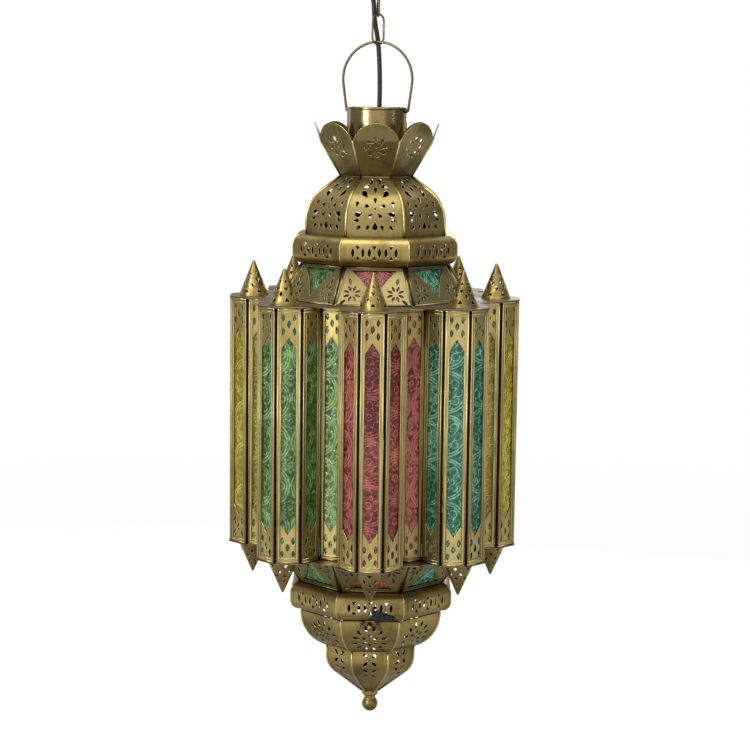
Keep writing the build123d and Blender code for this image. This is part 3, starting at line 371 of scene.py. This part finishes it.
PANEL_BRASS = brass(
    "panel_brass", (0.2, 0.145, 0.045, 1), (0.6, 0.48, 0.18, 1), (0.97, 0.84, 0.42, 1), 0.32, 0.6)
RAIL_BRASS = brass(
    "rail_brass", (0.24, 0.165, 0.045, 1), (0.66, 0.51, 0.19, 1), (0.98, 0.84, 0.42, 1), 0.28, 0.55)
BEAD_BRASS = brass(
    "bead_brass", (0.28, 0.2, 0.06, 1), (0.74, 0.59, 0.24, 1), (1.0, 0.88, 0.5, 1), 0.27, 0.5)
POLISHED = brass(
    "polished_brass", (0.13, 0.08, 0.024, 1), (0.36, 0.27, 0.12, 1), (0.95, 0.8, 0.45, 1), 0.18, 0.65)
DARK_BRASS = brass(
    "dark_brass", (0.036, 0.03, 0.015, 1), (0.17, 0.14, 0.07, 1), (0.5, 0.42, 0.21, 1), 0.32, 0.8)
DULL_BRASS = brass(
    "dull_brass", (0.075, 0.058, 0.035, 1), (0.2, 0.16, 0.1, 1), (0.5, 0.41, 0.24, 1), 0.42, 0.8)
# Glass by its deep and pale colours, plastics and other metals by two colours and roughness
GLASSES = {
    "red": coloured_glass("red_glass", (0.16, 0.01, 0.012, 1), (0.95, 0.29, 0.22, 1)),
    "teal": coloured_glass("teal_glass", (0.008, 0.15, 0.09, 1), (0.48, 1.0, 0.7, 1)),
    "yellow": coloured_glass("yellow_glass", (0.4, 0.3, 0.004, 1), (1.0, 0.98, 0.24, 1)),
    "green": coloured_glass("green_glass", (0.04, 0.13, 0.012, 1), (0.55, 0.9, 0.36, 1)),
}
FLEX_BLACK = black_plastic("black_flex", (0.012, 0.012, 0.013, 1), (0.03, 0.03, 0.032, 1), 0.38, 700)
HOLDER_BLACK = black_plastic("black_holder", (0.016, 0.014, 0.013, 1), (0.04, 0.036, 0.034, 1), 0.3, 300)
# Dark solder, which also paints the shade in the shoulder seams
SOLDER_AND_SHADE = dark_metal("dark_solder_and_shade", (0.03, 0.022, 0.012, 1), (0.09, 0.065, 0.035, 1), 0.5)
SPRING_DARK = dark_metal("dark_spring", (0.1, 0.076, 0.036, 1), (0.36, 0.28, 0.13, 1), 0.35)
ZINC = dark_metal("zinc_steel", (0.42, 0.43, 0.45, 1), (0.6, 0.61, 0.62, 1), 0.38)
BULB = clear_glass("bulb_glass")


def dress(node, material):
    """Give a solid of the frame its finish."""
    mesh = NODES[node].data
    mesh.materials.clear()
    mesh.materials.append(material)


FINISHES = {
    "mounting_bar": ZINC, "canopy": ANTIQUE, "canopy_nipple": ZINC, "canopy_loop": DARK_BRASS,
    "canopy_cord_gland": HOLDER_BLACK, "chain_link_upper": DARK_BRASS, "chain_link_lower": DARK_BRASS,
    "bail": DARK_BRASS, "cord": FLEX_BLACK, "neck_tube": POLISHED, "neck_plate": ANTIQUE,
    "crown_petals": CROWN_BRASS, "dome_gores": PIERCED, "upper_band": BAND_BRASS, "lower_band": BAND_BRASS,
    "upper_shoulder_frames": KHAKI, "lower_shoulder_frames": KHAKI,
    "top_plate": DULL_BRASS, "base_plate": DULL_BRASS, "upper_cones": ANTIQUE, "lower_cones": ANTIQUE,
    "bowl_upper": BAND_BRASS, "bowl_lower": BAND_BRASS, "finial": ANTIQUE, "finial_nut": ANTIQUE,
    "catch_knob": ANTIQUE, "catch_clip": SPRING_DARK, "hinge_leaf_fixed": ANTIQUE,
    "hinge_leaf_door": ANTIQUE, "hinge_pin": ZINC, "cord_grip": HOLDER_BLACK, "inner_flex": FLEX_BLACK,
    "lamp_holder_cap": HOLDER_BLACK, "lamp_holder_skirt": HOLDER_BLACK, "bulb_cap": ZINC,
    "bulb_glass": BULB,
}
for column in range(SIDES):
    FINISHES[f"column_{column + 1}_panels"] = PANEL_BRASS
    FINISHES[f"column_{column + 1}_glass"] = GLASSES[COLOURS[column % len(COLOURS)]]
for colour in COLOURS:
    FINISHES["shoulder_glass_" + colour] = GLASSES[colour]
for node, finish in FINISHES.items():
    dress(node, finish)


# Meshes
class Build:
    """Points and faces gathered for one mesh, in metres."""

    def __init__(self):
        self.points = []
        self.faces = []
        self.relief = []

    def grid(self, rows, around, closed=True):
        """Join rows of points, each holding the same number, into a skin."""
        base = len(self.points)
        for row in rows:
            self.points += [tuple(p) for p in row]
        steps = around if closed else around - 1
        for i in range(len(rows) - 1):
            for j in range(steps):
                a = base + i * around + j
                b = base + i * around + (j + 1) % around
                self.faces.append((a, b, b + around, a + around))
        return base

    def cap(self, first, count, flip):
        ring = list(range(first, first + count))
        self.faces.append(tuple(reversed(ring)) if flip else tuple(ring))

    def tube(self, path, radius, sides):
        """A capped tube along points, with a steady frame."""
        rows = []
        side = None
        for i, point in enumerate(path):
            ahead = (path[min(i + 1, len(path) - 1)] - path[max(i - 1, 0)]).normalized()
            if side is None:
                side = ahead.orthogonal().normalized()
            side = (side - ahead * side.dot(ahead)).normalized()
            up = ahead.cross(side)
            angles = [math.tau * k / sides for k in range(sides)]
            rows.append([point + (side * math.cos(a) + up * math.sin(a)) * radius for a in angles])
        base = self.grid(rows, sides)
        self.cap(base, sides, True)
        self.cap(base + (len(rows) - 1) * sides, sides, False)


def piece(name, build, material, body, smooth=True):
    """A mesh that rides on a body."""
    mesh = bpy.data.meshes.new(name)
    mesh.from_pydata([tuple(p) for p in build.points], [], build.faces)
    mesh.materials.append(material)
    if smooth:
        mesh.polygons.foreach_set("use_smooth", [True] * len(mesh.polygons))
    mesh.validate()
    if build.relief:
        mesh.attributes.new("relief", "FLOAT", "POINT").data.foreach_set("value", build.relief)
    made = bpy.data.objects.new(name, mesh)
    bpy.context.scene.collection.objects.link(made)
    if body:
        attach(made, body)
    return made


# Flex: one smooth line, cut in the middle of each body that it passes
CORD_RESOLUTION = 24
CORD_SPANS = [      # name, bodies above and below, cut, and the heights between which it bends
    ("flex_top", "ceiling_set", "upper_link", -75.0, (-54.0, -70.0)),
    ("flex_upper", "upper_link", "lower_link", -107.5, (-83.0, -101.0)),
    ("flex_lower", "lower_link", "bail", -163.0, (-114.0, -131.0)),
    ("flex_neck", "bail", "lantern", None, (-183.0, -207.0)),
]


def cord_line():
    """Points along the route's smooth curve, from the ceiling down."""
    curve = bpy.data.curves.new("flex_route", "CURVE")
    curve.dimensions = "3D"
    curve.resolution_u = CORD_RESOLUTION
    spline = curve.splines.new("NURBS")
    spline.points.add(len(CORD_POINTS) - 1)
    for point, place in zip(spline.points, CORD_POINTS):
        point.co = (*(c * MM for c in place), 1.0)
    spline.order_u = 3
    spline.use_endpoint_u = True
    route = bpy.data.objects.new("flex_route", curve)
    line = bpy.data.meshes.new_from_object(route)
    points = [v.co.copy() for v in line.vertices]
    bpy.data.objects.remove(route)
    return points


def cord_spans():
    points = cord_line()
    start = 0
    for name, above, below, cut, (bend_from, bend_to) in CORD_SPANS:
        end = len(points) - 1
        if cut is not None:
            end = next(i for i, p in enumerate(points) if p.z < cut * MM)
        path = points[start:end + 1]
        build = Build()
        build.tube(path, CORD_RADIUS, CORD_SIDES)
        span = piece(name, build, FLEX_BLACK, None)
        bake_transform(span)
        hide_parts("cord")
        start = end


cord_spans()


# Rolled glass
def ridge(distance, width):
    return np.exp(-(distance / width) ** 2)


def petals(radius, angle, count, inner, outer, width):
    """The outline of a ring of rounded petals."""
    edge = inner + (outer - inner) * np.sqrt(np.abs(np.cos(count / 2 * angle)))
    return ridge(radius - edge, width)


RINGS = [(22.4, 0.9), (19.6, 0.8), (3.4, 0.8), (0.0, 1.1)]             # radius and line width
RING_FLOWERS = [(9.5, 17.0, 0.9, 0.0), (4.2, 10.5, 0.8, 0.39)]        # inner, outer, line width, turn
GAP_RING = (2.2, 0.7)
GAP_FLOWER = (3.4, 8.2, 0.8)
FLOWER_PETALS = 8


def rolled_pattern(u, v):
    """Height from 0 to 1 of touching rings with flowers in and between them, in millimetres."""
    ring_u = (u / PATTERN_PITCH + 0.5) % 1 - 0.5
    ring_v = (v / PATTERN_PITCH + 0.5) % 1 - 0.5
    ring_r = np.hypot(ring_u, ring_v) * PATTERN_PITCH
    ring_a = np.arctan2(ring_v, ring_u)
    gap_u = (u / PATTERN_PITCH) % 1 - 0.5
    gap_v = (v / PATTERN_PITCH) % 1 - 0.5
    gap_r = np.hypot(gap_u, gap_v) * PATTERN_PITCH
    gap_a = np.arctan2(gap_v, gap_u)
    height = petals(gap_r, gap_a, FLOWER_PETALS, *GAP_FLOWER) + ridge(gap_r - GAP_RING[0], GAP_RING[1])
    for radius, width in RINGS:
        height = height + ridge(ring_r - radius, width)
    for inner, outer, width, turn in RING_FLOWERS:
        height = height + petals(ring_r, ring_a + turn, FLOWER_PETALS, inner, outer, width)
    return np.clip(height, 0, 1)


PATTERN_STEPS = (0.95, 1.05)    # between the pattern's points, across and up


def rolled_pane(build, place, half_low, half_high, height, offset, paler=0.0):
    """A closed pane whose front carries the pattern; place has x across, y up and z out."""
    across = np.linspace(-1, 1, 2 + int(max(half_low, half_high) * 2 / PATTERN_STEPS[0]))
    up = np.linspace(-0.5, 0.5, 2 + int(height / PATTERN_STEPS[1]))
    share, level = np.meshgrid(across, up)
    half = half_low + (half_high - half_low) * (level + 0.5)
    x = share * half
    y = level * height
    raised = rolled_pattern(x + offset[0], y + offset[1])
    front = -PANE_SINK - RELIEF * (1 - raised)
    base = len(build.points)
    columns, rows = len(across), len(up)
    local = np.stack([x, y, front], axis=-1).reshape(-1, 3)
    back = [(sx * h, sy * height / 2, -PANE_SINK - GLASS)
            for sx, sy, h in ((-1, -1, half_low), (1, -1, half_low), (1, 1, half_high), (-1, 1, half_high))]
    local = np.vstack([local, back]) * MM
    matrix = np.array(place)
    build.points += [tuple(p) for p in local @ matrix[:3, :3].T + matrix[:3, 3]]
    build.relief += list(raised.ravel() + paler) + [paler] * len(back)
    for i in range(rows - 1):
        start = base + i * columns
        for j in range(start, start + columns - 1):
            build.faces.append((j, j + 1, j + 1 + columns, j + columns))
    corner = base + rows * columns
    bottom = list(range(base, base + columns))
    top = list(range(base + (rows - 1) * columns, base + rows * columns))
    left = list(range(base, base + rows * columns, columns))
    right = [k + columns - 1 for k in left]
    build.faces.append((corner + 1, corner, corner + 3, corner + 2))
    build.faces.append((corner, corner + 1, *reversed(bottom)))
    build.faces.append((corner + 2, corner + 3, *top))
    build.faces.append((corner + 3, corner, *left))
    build.faces.append((corner + 1, corner + 2, *reversed(right)))


def placed(origin, across, out):
    """A matrix with x across, z out and y between them."""
    x, z = Vector(across), Vector(out)
    y = z.cross(x)
    matrix = Matrix((x, y, z)).transposed().to_4x4()
    matrix.translation = Vector(origin)
    return matrix


def turned(matrix, steps):
    return Matrix.Rotation(TURN * steps, 4, "Z") @ matrix


COLUMN_LOW, COLUMN_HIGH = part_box("column_1_panels")
COLUMN_FLAT = -COLUMN_LOW.x / MM
COLUMN_RING = -COLUMN_LOW.y / MM - COLUMN_FLAT
COLUMN_HEIGHT = (COLUMN_HIGH.z - COLUMN_LOW.z) / MM
COLUMN_MIDDLE = (COLUMN_HIGH.z + COLUMN_LOW.z) / 2
FACE_HALF = (COLUMN_FLAT - PANEL_DEPTH) * SLOPE - PANEL_GAP
RECESS_HALF = COLUMN_RING * math.sin(TURN / 2) - COLUMN_FLAT / math.cos(TURN / 2) + RECESS_LAP
RECESS_FRONT = COLUMN_RING * math.cos(TURN / 2) - RECESS_SET


def column_places():
    """The fronts of the first column's five faces and of the recess at its right, with half widths."""
    places = []
    for k in (-2, -1, 0, 1, 2):
        out = (math.sin(TURN * k), -math.cos(TURN * k), 0)
        across = (math.cos(TURN * k), math.sin(TURN * k), 0)
        origin = (COLUMN_FLAT * out[0] * MM, (COLUMN_FLAT * out[1] - COLUMN_RING) * MM, COLUMN_MIDDLE)
        places.append((placed(origin, across, out), FACE_HALF))
    recess = placed((0, -RECESS_FRONT * MM, COLUMN_MIDDLE), (1, 0, 0), (0, -1, 0))
    places.append((turned(recess, 0.5), RECESS_HALF))
    return places


def column_glass():
    cut = random.Random(4)
    height = COLUMN_HEIGHT - 2 * END_RAIL - 2 * PANE_FIT
    for column in range(SIDES):
        build = Build()
        for place, half in column_places():
            width = half - POCKET_WALL - PANE_FIT
            offset = (cut.uniform(0, PATTERN_PITCH), cut.uniform(0, PATTERN_PITCH))
            paler = RECESS_PALER if half == RECESS_HALF else 0.0
            rolled_pane(build, turned(place, column), width, width, height, offset, paler)
        colour = COLOURS[column % len(COLOURS)]
        made = piece(f"rolled_glass_{column + 1}", build, GLASSES[colour], "lantern")
        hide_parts(f"column_{column + 1}_glass")


column_glass()


# Shoulder panes
UPPER_LOW, UPPER_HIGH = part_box("upper_shoulder_frames")
LOWER_LOW, LOWER_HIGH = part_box("lower_shoulder_frames")
SHOULDER_FOOT = -UPPER_LOW.y / MM
SHOULDER_SPREAD = 24.0
SHOULDER_TOP = SHOULDER_FOOT - SHOULDER_SPREAD
SHOULDER_HEIGHT = (UPPER_HIGH.z - UPPER_LOW.z) / MM
SHOULDER_SLOPE = math.hypot(SHOULDER_SPREAD, SHOULDER_HEIGHT)


def shoulder_place(middle_z, tilt):
    """The front of a shoulder panel: x across, y up the slope, z out."""
    origin = (0, -(SHOULDER_TOP + SHOULDER_FOOT) / 2 * MM, middle_z)
    return placed(origin, (1, 0, 0), (0, -math.cos(tilt), math.sin(tilt)))


def shoulder_places():
    """The upper and lower front panels, with half widths at their lower and upper ends."""
    lean = math.atan2(SHOULDER_SPREAD, SHOULDER_HEIGHT)
    upper = shoulder_place((UPPER_LOW.z + UPPER_HIGH.z) / 2, lean)
    lower = shoulder_place((LOWER_LOW.z + LOWER_HIGH.z) / 2, -lean)
    wide, narrow = SHOULDER_FOOT * SLOPE, SHOULDER_TOP * SLOPE
    return [(upper, wide, narrow), (lower, narrow, wide)]


def shoulder_glass():
    cut = random.Random(9)
    inset = RAIL + PANE_FIT
    for step, colour in enumerate(COLOURS):
        build = Build()
        for place, low, high in shoulder_places():
            for half_turn in (0, SIDES / 2):
                offset = (cut.uniform(0, PATTERN_PITCH), cut.uniform(0, PATTERN_PITCH))
                rolled_pane(build, turned(place, step + half_turn), low - inset, high - inset,
                            SHOULDER_SLOPE - 2 * inset, offset)
        made = piece("rolled_shoulder_" + colour, build, GLASSES[colour], "lantern")
        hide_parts("shoulder_glass_" + colour)


shoulder_glass()


# Folded seams and beads
SEAM_OUT = Vector((math.sin(TURN / 2), -math.cos(TURN / 2), 0))
SEAM_ACROSS = Vector((math.cos(TURN / 2), math.sin(TURN / 2), 0))
SEAM_NEAR = 0.3 * MM
SEAM_FACING = 0.25
SEAM_STEP = 0.8 * MM
SEAM_SIDES = 8


def seam_profile(node):
    """Points up the outside of a node along its seam to the right of the front."""
    found = []
    for vertex in NODES[node].data.vertices:
        beside = abs(vertex.co.dot(SEAM_ACROSS)) < SEAM_NEAR
        if beside and vertex.co.dot(SEAM_OUT) > 0 and vertex.normal.dot(SEAM_OUT) > SEAM_FACING:
            found.append((vertex.co.z, vertex.co.dot(SEAM_OUT)))
    path = []
    for height, distance in sorted(found):
        point = SEAM_OUT * distance + Vector((0, 0, height))
        if not path or (point - path[-1]).length > SEAM_STEP:
            path.append(point)
    return path


def seam_beads(node, radius, body):
    """A folded seam up each corner of a node."""
    path = seam_profile(node)
    build = Build()
    for step in range(SIDES):
        turn = Matrix.Rotation(TURN * step, 4, "Z")
        build.tube([turn @ p for p in path], radius, SEAM_SIDES)
    made = piece("seams_" + node, build, BEAD_BRASS, body)


for seamed, seam_radius, seam_body in (
    ("crown_petals", 0.9 * MM, "lantern"),
    ("dome_gores", 1.3 * MM, "lantern"),
    ("upper_band", 0.5 * MM, "lantern"),
    ("lower_band", 0.5 * MM, "lantern"),
    ("bowl_upper", 1.2 * MM, "bowl_door"),
    ("bowl_lower", 1.2 * MM, "bowl_door"),
):
    seam_beads(seamed, seam_radius, seam_body)


# Beads and folds on the panels
BEAD_STEPS = 6


def half_round(build, place, start, end, half_width, rise):
    """A bead on a panel's front from one point to another, in the panel's own millimetres."""
    first, last = Vector((*start, 0)), Vector((*end, 0))
    ahead = (last - first).normalized()
    aside = Vector((ahead.y, -ahead.x, 0))
    angles = [math.pi * k / BEAD_STEPS for k in range(BEAD_STEPS + 1)]
    arch = [aside * half_width * math.cos(a) + Vector((0, 0, rise * math.sin(a))) for a in angles]
    rows = [[place @ ((point + p) * MM) for p in arch] for point in (first, last)]
    base = build.grid(rows, len(arch))
    build.cap(base, len(arch), True)
    build.cap(base + len(arch), len(arch), False)


RAIL_FOLD = (0.8, 0.45)         # half width and rise of the fold along a panel's side
RAIL_LIP = (0.45, 0.3)          # of the lip beside the glass
END_FOLD = (0.8, 0.45)          # of the fold across a panel's end
END_LINE = (0.45, 0.3)          # of the scored line above it
END_STRIP = 4.2                 # panel end to the scored line


def panel_caps():
    """Folds along the sides and ends of every column panel, and a lip beside its glass."""
    build = Build()
    end = COLUMN_HEIGHT / 2 - PANEL_GAP
    glass_end = end - END_RAIL
    for column in range(SIDES):
        for place, half in column_places():
            front = turned(place, column)
            for side in (-1, 1):
                fold_x = side * (half - RAIL_FOLD[0])
                lip_x = side * (half - RAIL + RAIL_LIP[0])
                end_y = side * (end - END_FOLD[0])
                line_y = side * (end - END_STRIP)
                half_round(build, front, (fold_x, -end), (fold_x, end), *RAIL_FOLD)
                half_round(build, front, (lip_x, -glass_end), (lip_x, glass_end), *RAIL_LIP)
                half_round(build, front, (-half, end_y), (half, end_y), *END_FOLD)
                half_round(build, front, (-half, line_y), (half, line_y), *END_LINE)
    made = piece("panel_caps", build, RAIL_BRASS, "lantern")


panel_caps()


SHOULDER_CAP = (1.1, 0.6)       # half width and rise of the rolled edge
SHOULDER_SEAM = (1.1, 0.25)     # of the dark seam between shoulder panels, solder and painted shade


def shoulder_trim():
    """A rolled edge round each shoulder panel, and dark soldered seams between panels, which also paint the
    shade in them.
    """
    edges = Build()
    seams = Build()
    end = SHOULDER_SLOPE / 2 - SHOULDER_CAP[0]
    inset = SHOULDER_SEAM[0] + SHOULDER_CAP[0]
    for place, low, high in shoulder_places():
        for step in range(SIDES):
            front = turned(place, step)
            low_in, high_in = low - inset, high - inset
            for side in (-1, 1):
                half_round(edges, front, (side * low_in, -end), (side * high_in, end), *SHOULDER_CAP)
            half_round(edges, front, (-low_in, -end), (low_in, -end), *SHOULDER_CAP)
            half_round(edges, front, (-high_in, end), (high_in, end), *SHOULDER_CAP)
            half_round(seams, front, (low, -end), (high, end), *SHOULDER_SEAM)
    piece("shoulder_edges", edges, KHAKI, "lantern")
    # The dark seams are solder and painted shade
    piece("shoulder_seams", seams, SOLDER_AND_SHADE, "lantern")


shoulder_trim()


# Tape by the catch
BAND_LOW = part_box("lower_band")[0]
BAND_FACE = -BAND_LOW.y / MM
BAND_FOOT = BAND_LOW.z / MM
BAND_ROUND = 11.5               # radius of the band's lower edge
TAPE_ACROSS = (2.5, 26.5)
TAPE_SLANT = 0.42               # share of its height that the tape loses towards its right end
TAPE_BEND = 0.7                 # power that bows the slant
TAPE_FACE = 7.5                 # part of the tape above the band's lower round
TAPE_TURN = 82.0                # degrees of the round that it covers
TAPE_LIFT = (0.08, 0.5, 1.5)    # band to the tape's back, and to its hollows and folds
TAPE_STEPS = (27, 31)
TAPE_CREASES = [(1.9, 4.0), (-0.8, 7.0), (2.7, -9.0)]     # waves, per millimetre across and per height
TAPE_CREASE_FULL = 2.2          # sum of the waves at a full fold
RAGGED_LEFT = (-0.6, 0.6)       # torn edges: moved across, and cut off the top as a share
RAGGED_RIGHT = (-1.6, 0.6)
RAGGED_TOP = (0.0, 0.14)


def tape_point(across, along, lift):
    """A point above the band's front; along runs from 0 at the tape's top to 1 round the band's foot."""
    round_length = BAND_ROUND * math.radians(TAPE_TURN)
    run = along * (TAPE_FACE + round_length)
    if run < TAPE_FACE:
        return Vector((across, -BAND_FACE - lift, BAND_FOOT + BAND_ROUND + TAPE_FACE - run)) * MM
    turn = (run - TAPE_FACE) / BAND_ROUND
    reach = BAND_ROUND + lift
    distance = BAND_FACE - BAND_ROUND + reach * math.cos(turn)
    return Vector((across, -distance, BAND_FOOT + BAND_ROUND - reach * math.sin(turn))) * MM


def fold(across, along):
    """Height from 0 to 1 of the tape's creases."""
    waves = sum(math.sin(per_mm * across + per_height * along) for per_mm, per_height in TAPE_CREASES)
    return min(1.0, abs(waves) / TAPE_CREASE_FULL)


def catch_tape():
    """A crumpled strip of black tape over the band to the right of the catch."""
    ragged = random.Random(6)
    columns, rows = TAPE_STEPS
    back, hollow, high = TAPE_LIFT
    left = [TAPE_ACROSS[0] + ragged.uniform(*RAGGED_LEFT) for k in range(rows)]
    right = [TAPE_ACROSS[1] + ragged.uniform(*RAGGED_RIGHT) for k in range(rows)]
    top = [ragged.uniform(*RAGGED_TOP) for k in range(columns)]
    loops = []
    for j in range(columns):
        share = j / (columns - 1)
        front_row, back_row = [], []
        for i in range(rows):
            edge = top[j] + TAPE_SLANT * share**TAPE_BEND
            along = edge + (1 - edge) * i / (rows - 1)
            across = left[i] + (right[i] - left[i]) * share
            front_row.append(tape_point(across, along, hollow + (high - hollow) * fold(across, along)))
            back_row.append(tape_point(across, along, back))
        loops.append(front_row + back_row[::-1])
    build = Build()
    base = build.grid(loops, 2 * rows)
    build.cap(base, 2 * rows, True)
    build.cap(base + (columns - 1) * 2 * rows, 2 * rows, False)
    piece("catch_tape", build, FLEX_BLACK, "lantern")


catch_tape()


# Studio
WHITE = (1, 1, 1, 1)
FLOOR_GREY = (0.9, 0.9, 0.9, 1)
FLOOR_REACH = 12.0
FLOOR_DROP = 0.45                       # floor below the finial
FLOOR_GLOW = (2.0, 5.0, 0.75, 1.0)      # metres from the axis, and share of pure white that shows
WORLD_LIGHT = 0.8


def seen(tree):
    """One for what shows to the camera, in gloss or through glass, nought for what only gives light."""
    path = add(tree, "LightPath").outputs
    straight = maths(tree, "MAXIMUM", path["Is Camera Ray"], path["Is Glossy Ray"])
    return maths(tree, "MAXIMUM", straight, path["Is Transmission Ray"])


def floor():
    """A plain pale floor that shows white to the camera and keeps the shadow."""
    material, tree, shader = new_material("studio_floor")
    shader.inputs["Base Color"].default_value = FLOOR_GREY
    shader.inputs["Roughness"].default_value = 0.9
    glow = add(tree, "Emission", Color=WHITE, Strength=1.0)
    glowing = ranged(tree, vectors(tree, "LENGTH", object_place(tree)), *FLOOR_GLOW)
    blend = add(tree, "MixShader", Fac=maths(tree, "MULTIPLY", seen(tree), glowing))
    tree.links.new(shader.outputs["BSDF"], blend.inputs[1])
    tree.links.new(glow.outputs["Emission"], blend.inputs[2])
    tree.links.new(blend.outputs["Shader"], tree.nodes["Material Output"].inputs["Surface"])
    build = Build()
    level = cad_box[0][2] - FLOOR_DROP
    corners = ((-1, -1), (1, -1), (1, 1), (-1, 1))
    build.points += [(x * FLOOR_REACH, y * FLOOR_REACH, level) for x, y in corners]
    build.cap(0, 4, False)
    made = piece("studio_floor", build, material, None, False)


def world():
    """White to the camera, to gloss and through glass; softer as light."""
    made = bpy.data.worlds.new("studio")
    made.use_nodes = True
    tree = made.node_tree
    background = tree.nodes["Background"]
    background.inputs["Color"].default_value = WHITE
    put(tree, ranged(tree, seen(tree), 0, 1, WORLD_LIGHT, 1.0), background.inputs["Strength"])
    made.cycles.sampling_method = "NONE"
    bpy.context.scene.world = made


# Cards round the studio: middle and width in degrees from the camera's side, and brightness
CARDS = [
    (0, 50, 1.0), (48, 36, 0.42), (98, 60, 0.2), (165, 50, 0.5),
    (-88, 72, 0.32), (-165, 50, 0.5),
]
CARD_RADIUS = 2.7
CARD_LEVELS = (-1.3, 2.6)
CARD_SHADES = (0.8, 1.2)                # share of its brightness at a card's foot and top
CARD_STEPS = 8
LOW_CARD_SHADES = (1.3, 2.3, 0.32, 1.0)  # metres from the ceiling mount, and brightness
LOW_CARD_SIDES = 32


def reflected_card(name, build, material):
    """A card that only reflections show."""
    card = piece(name, build, material, None)
    card.visible_camera = False
    card.visible_diffuse = False
    card.visible_transmission = False
    card.visible_shadow = False


def lit_card(name):
    """A material that only glows, its tree and the socket of its strength."""
    material, tree, shader = new_material(name)
    tree.nodes.remove(shader)
    glow = add(tree, "Emission", Color=WHITE)
    tree.links.new(glow.outputs["Emission"], tree.nodes["Material Output"].inputs["Surface"])
    return material, tree, glow.inputs["Strength"]


def grey_cards():
    """Grey cards round the object, with white gaps between them."""
    for number, (middle, width, brightness) in enumerate(CARDS):
        name = f"grey_card_{number}"
        material, tree, strength = lit_card(name)
        height = add(tree, "SeparateXYZ", Vector=object_place(tree)).outputs["Z"]
        foot, top = (brightness * shade for shade in CARD_SHADES)
        put(tree, ranged(tree, height, *CARD_LEVELS, foot, top), strength)
        angles = [math.radians(middle + width * (k / CARD_STEPS - 0.5)) for k in range(CARD_STEPS + 1)]
        build = Build()
        rows = []
        for level in CARD_LEVELS:
            rows.append([(CARD_RADIUS * math.sin(a), -CARD_RADIUS * math.cos(a), level) for a in angles])
        build.grid(rows, len(angles), closed=False)
        reflected_card(name, build, material)


def low_card():
    """A grey card over the floor."""
    material, tree, strength = lit_card("low_card")
    away = vectors(tree, "LENGTH", object_place(tree))
    put(tree, ranged(tree, away, *LOW_CARD_SHADES), strength)
    build = Build()
    angles = [math.tau * k / LOW_CARD_SIDES for k in range(LOW_CARD_SIDES)]
    build.points += [(CARD_RADIUS * math.cos(a), CARD_RADIUS * math.sin(a), CARD_LEVELS[0]) for a in angles]
    build.cap(0, LOW_CARD_SIDES, False)
    reflected_card("low_card", build, material)


LAMP_AIM = Vector((0, 0, -0.5))


def lamp(name, place, size, power):
    light = bpy.data.lights.new(name, "AREA")
    light.shape = "RECTANGLE"
    light.size, light.size_y = size
    light.energy = power
    made = bpy.data.objects.new(name, light)
    made.location = place
    made.rotation_euler = (LAMP_AIM - Vector(place)).to_track_quat("-Z", "Y").to_euler()
    bpy.context.scene.collection.objects.link(made)


def camera():
    data = bpy.data.cameras.new("camera")
    data.lens = CAMERA_LENS
    made = bpy.data.objects.new("camera", data)
    made.matrix_world = (
        Matrix.Rotation(CAMERA_TURN, 4, "Z")
        @ Matrix.Translation((CAMERA_SIDE, -CAMERA_DISTANCE, CAMERA_HEIGHT))
        @ Matrix.Rotation(math.pi / 2 + CAMERA_PITCH, 4, "X")
        @ Matrix.Rotation(CAMERA_ROLL, 4, "Z")
    )
    bpy.context.scene.collection.objects.link(made)
    bpy.context.scene.camera = made


floor()
world()
grey_cards()
low_card()
# Lamps: place and size in metres, and power in watts
lamp("key", (-1.9, -2.0, 0.4), (0.9, 1.6), 42)
lamp("fill", (2.4, -1.6, 0.2), (1.2, 1.6), 18)
lamp("top", (0, -0.3, 1.7), (2.0, 2.0), 30)
lamp("back", (0.6, 2.6, -0.2), (2.0, 1.8), 30)
camera()
bpy.context.scene.view_settings.view_transform = "Standard"
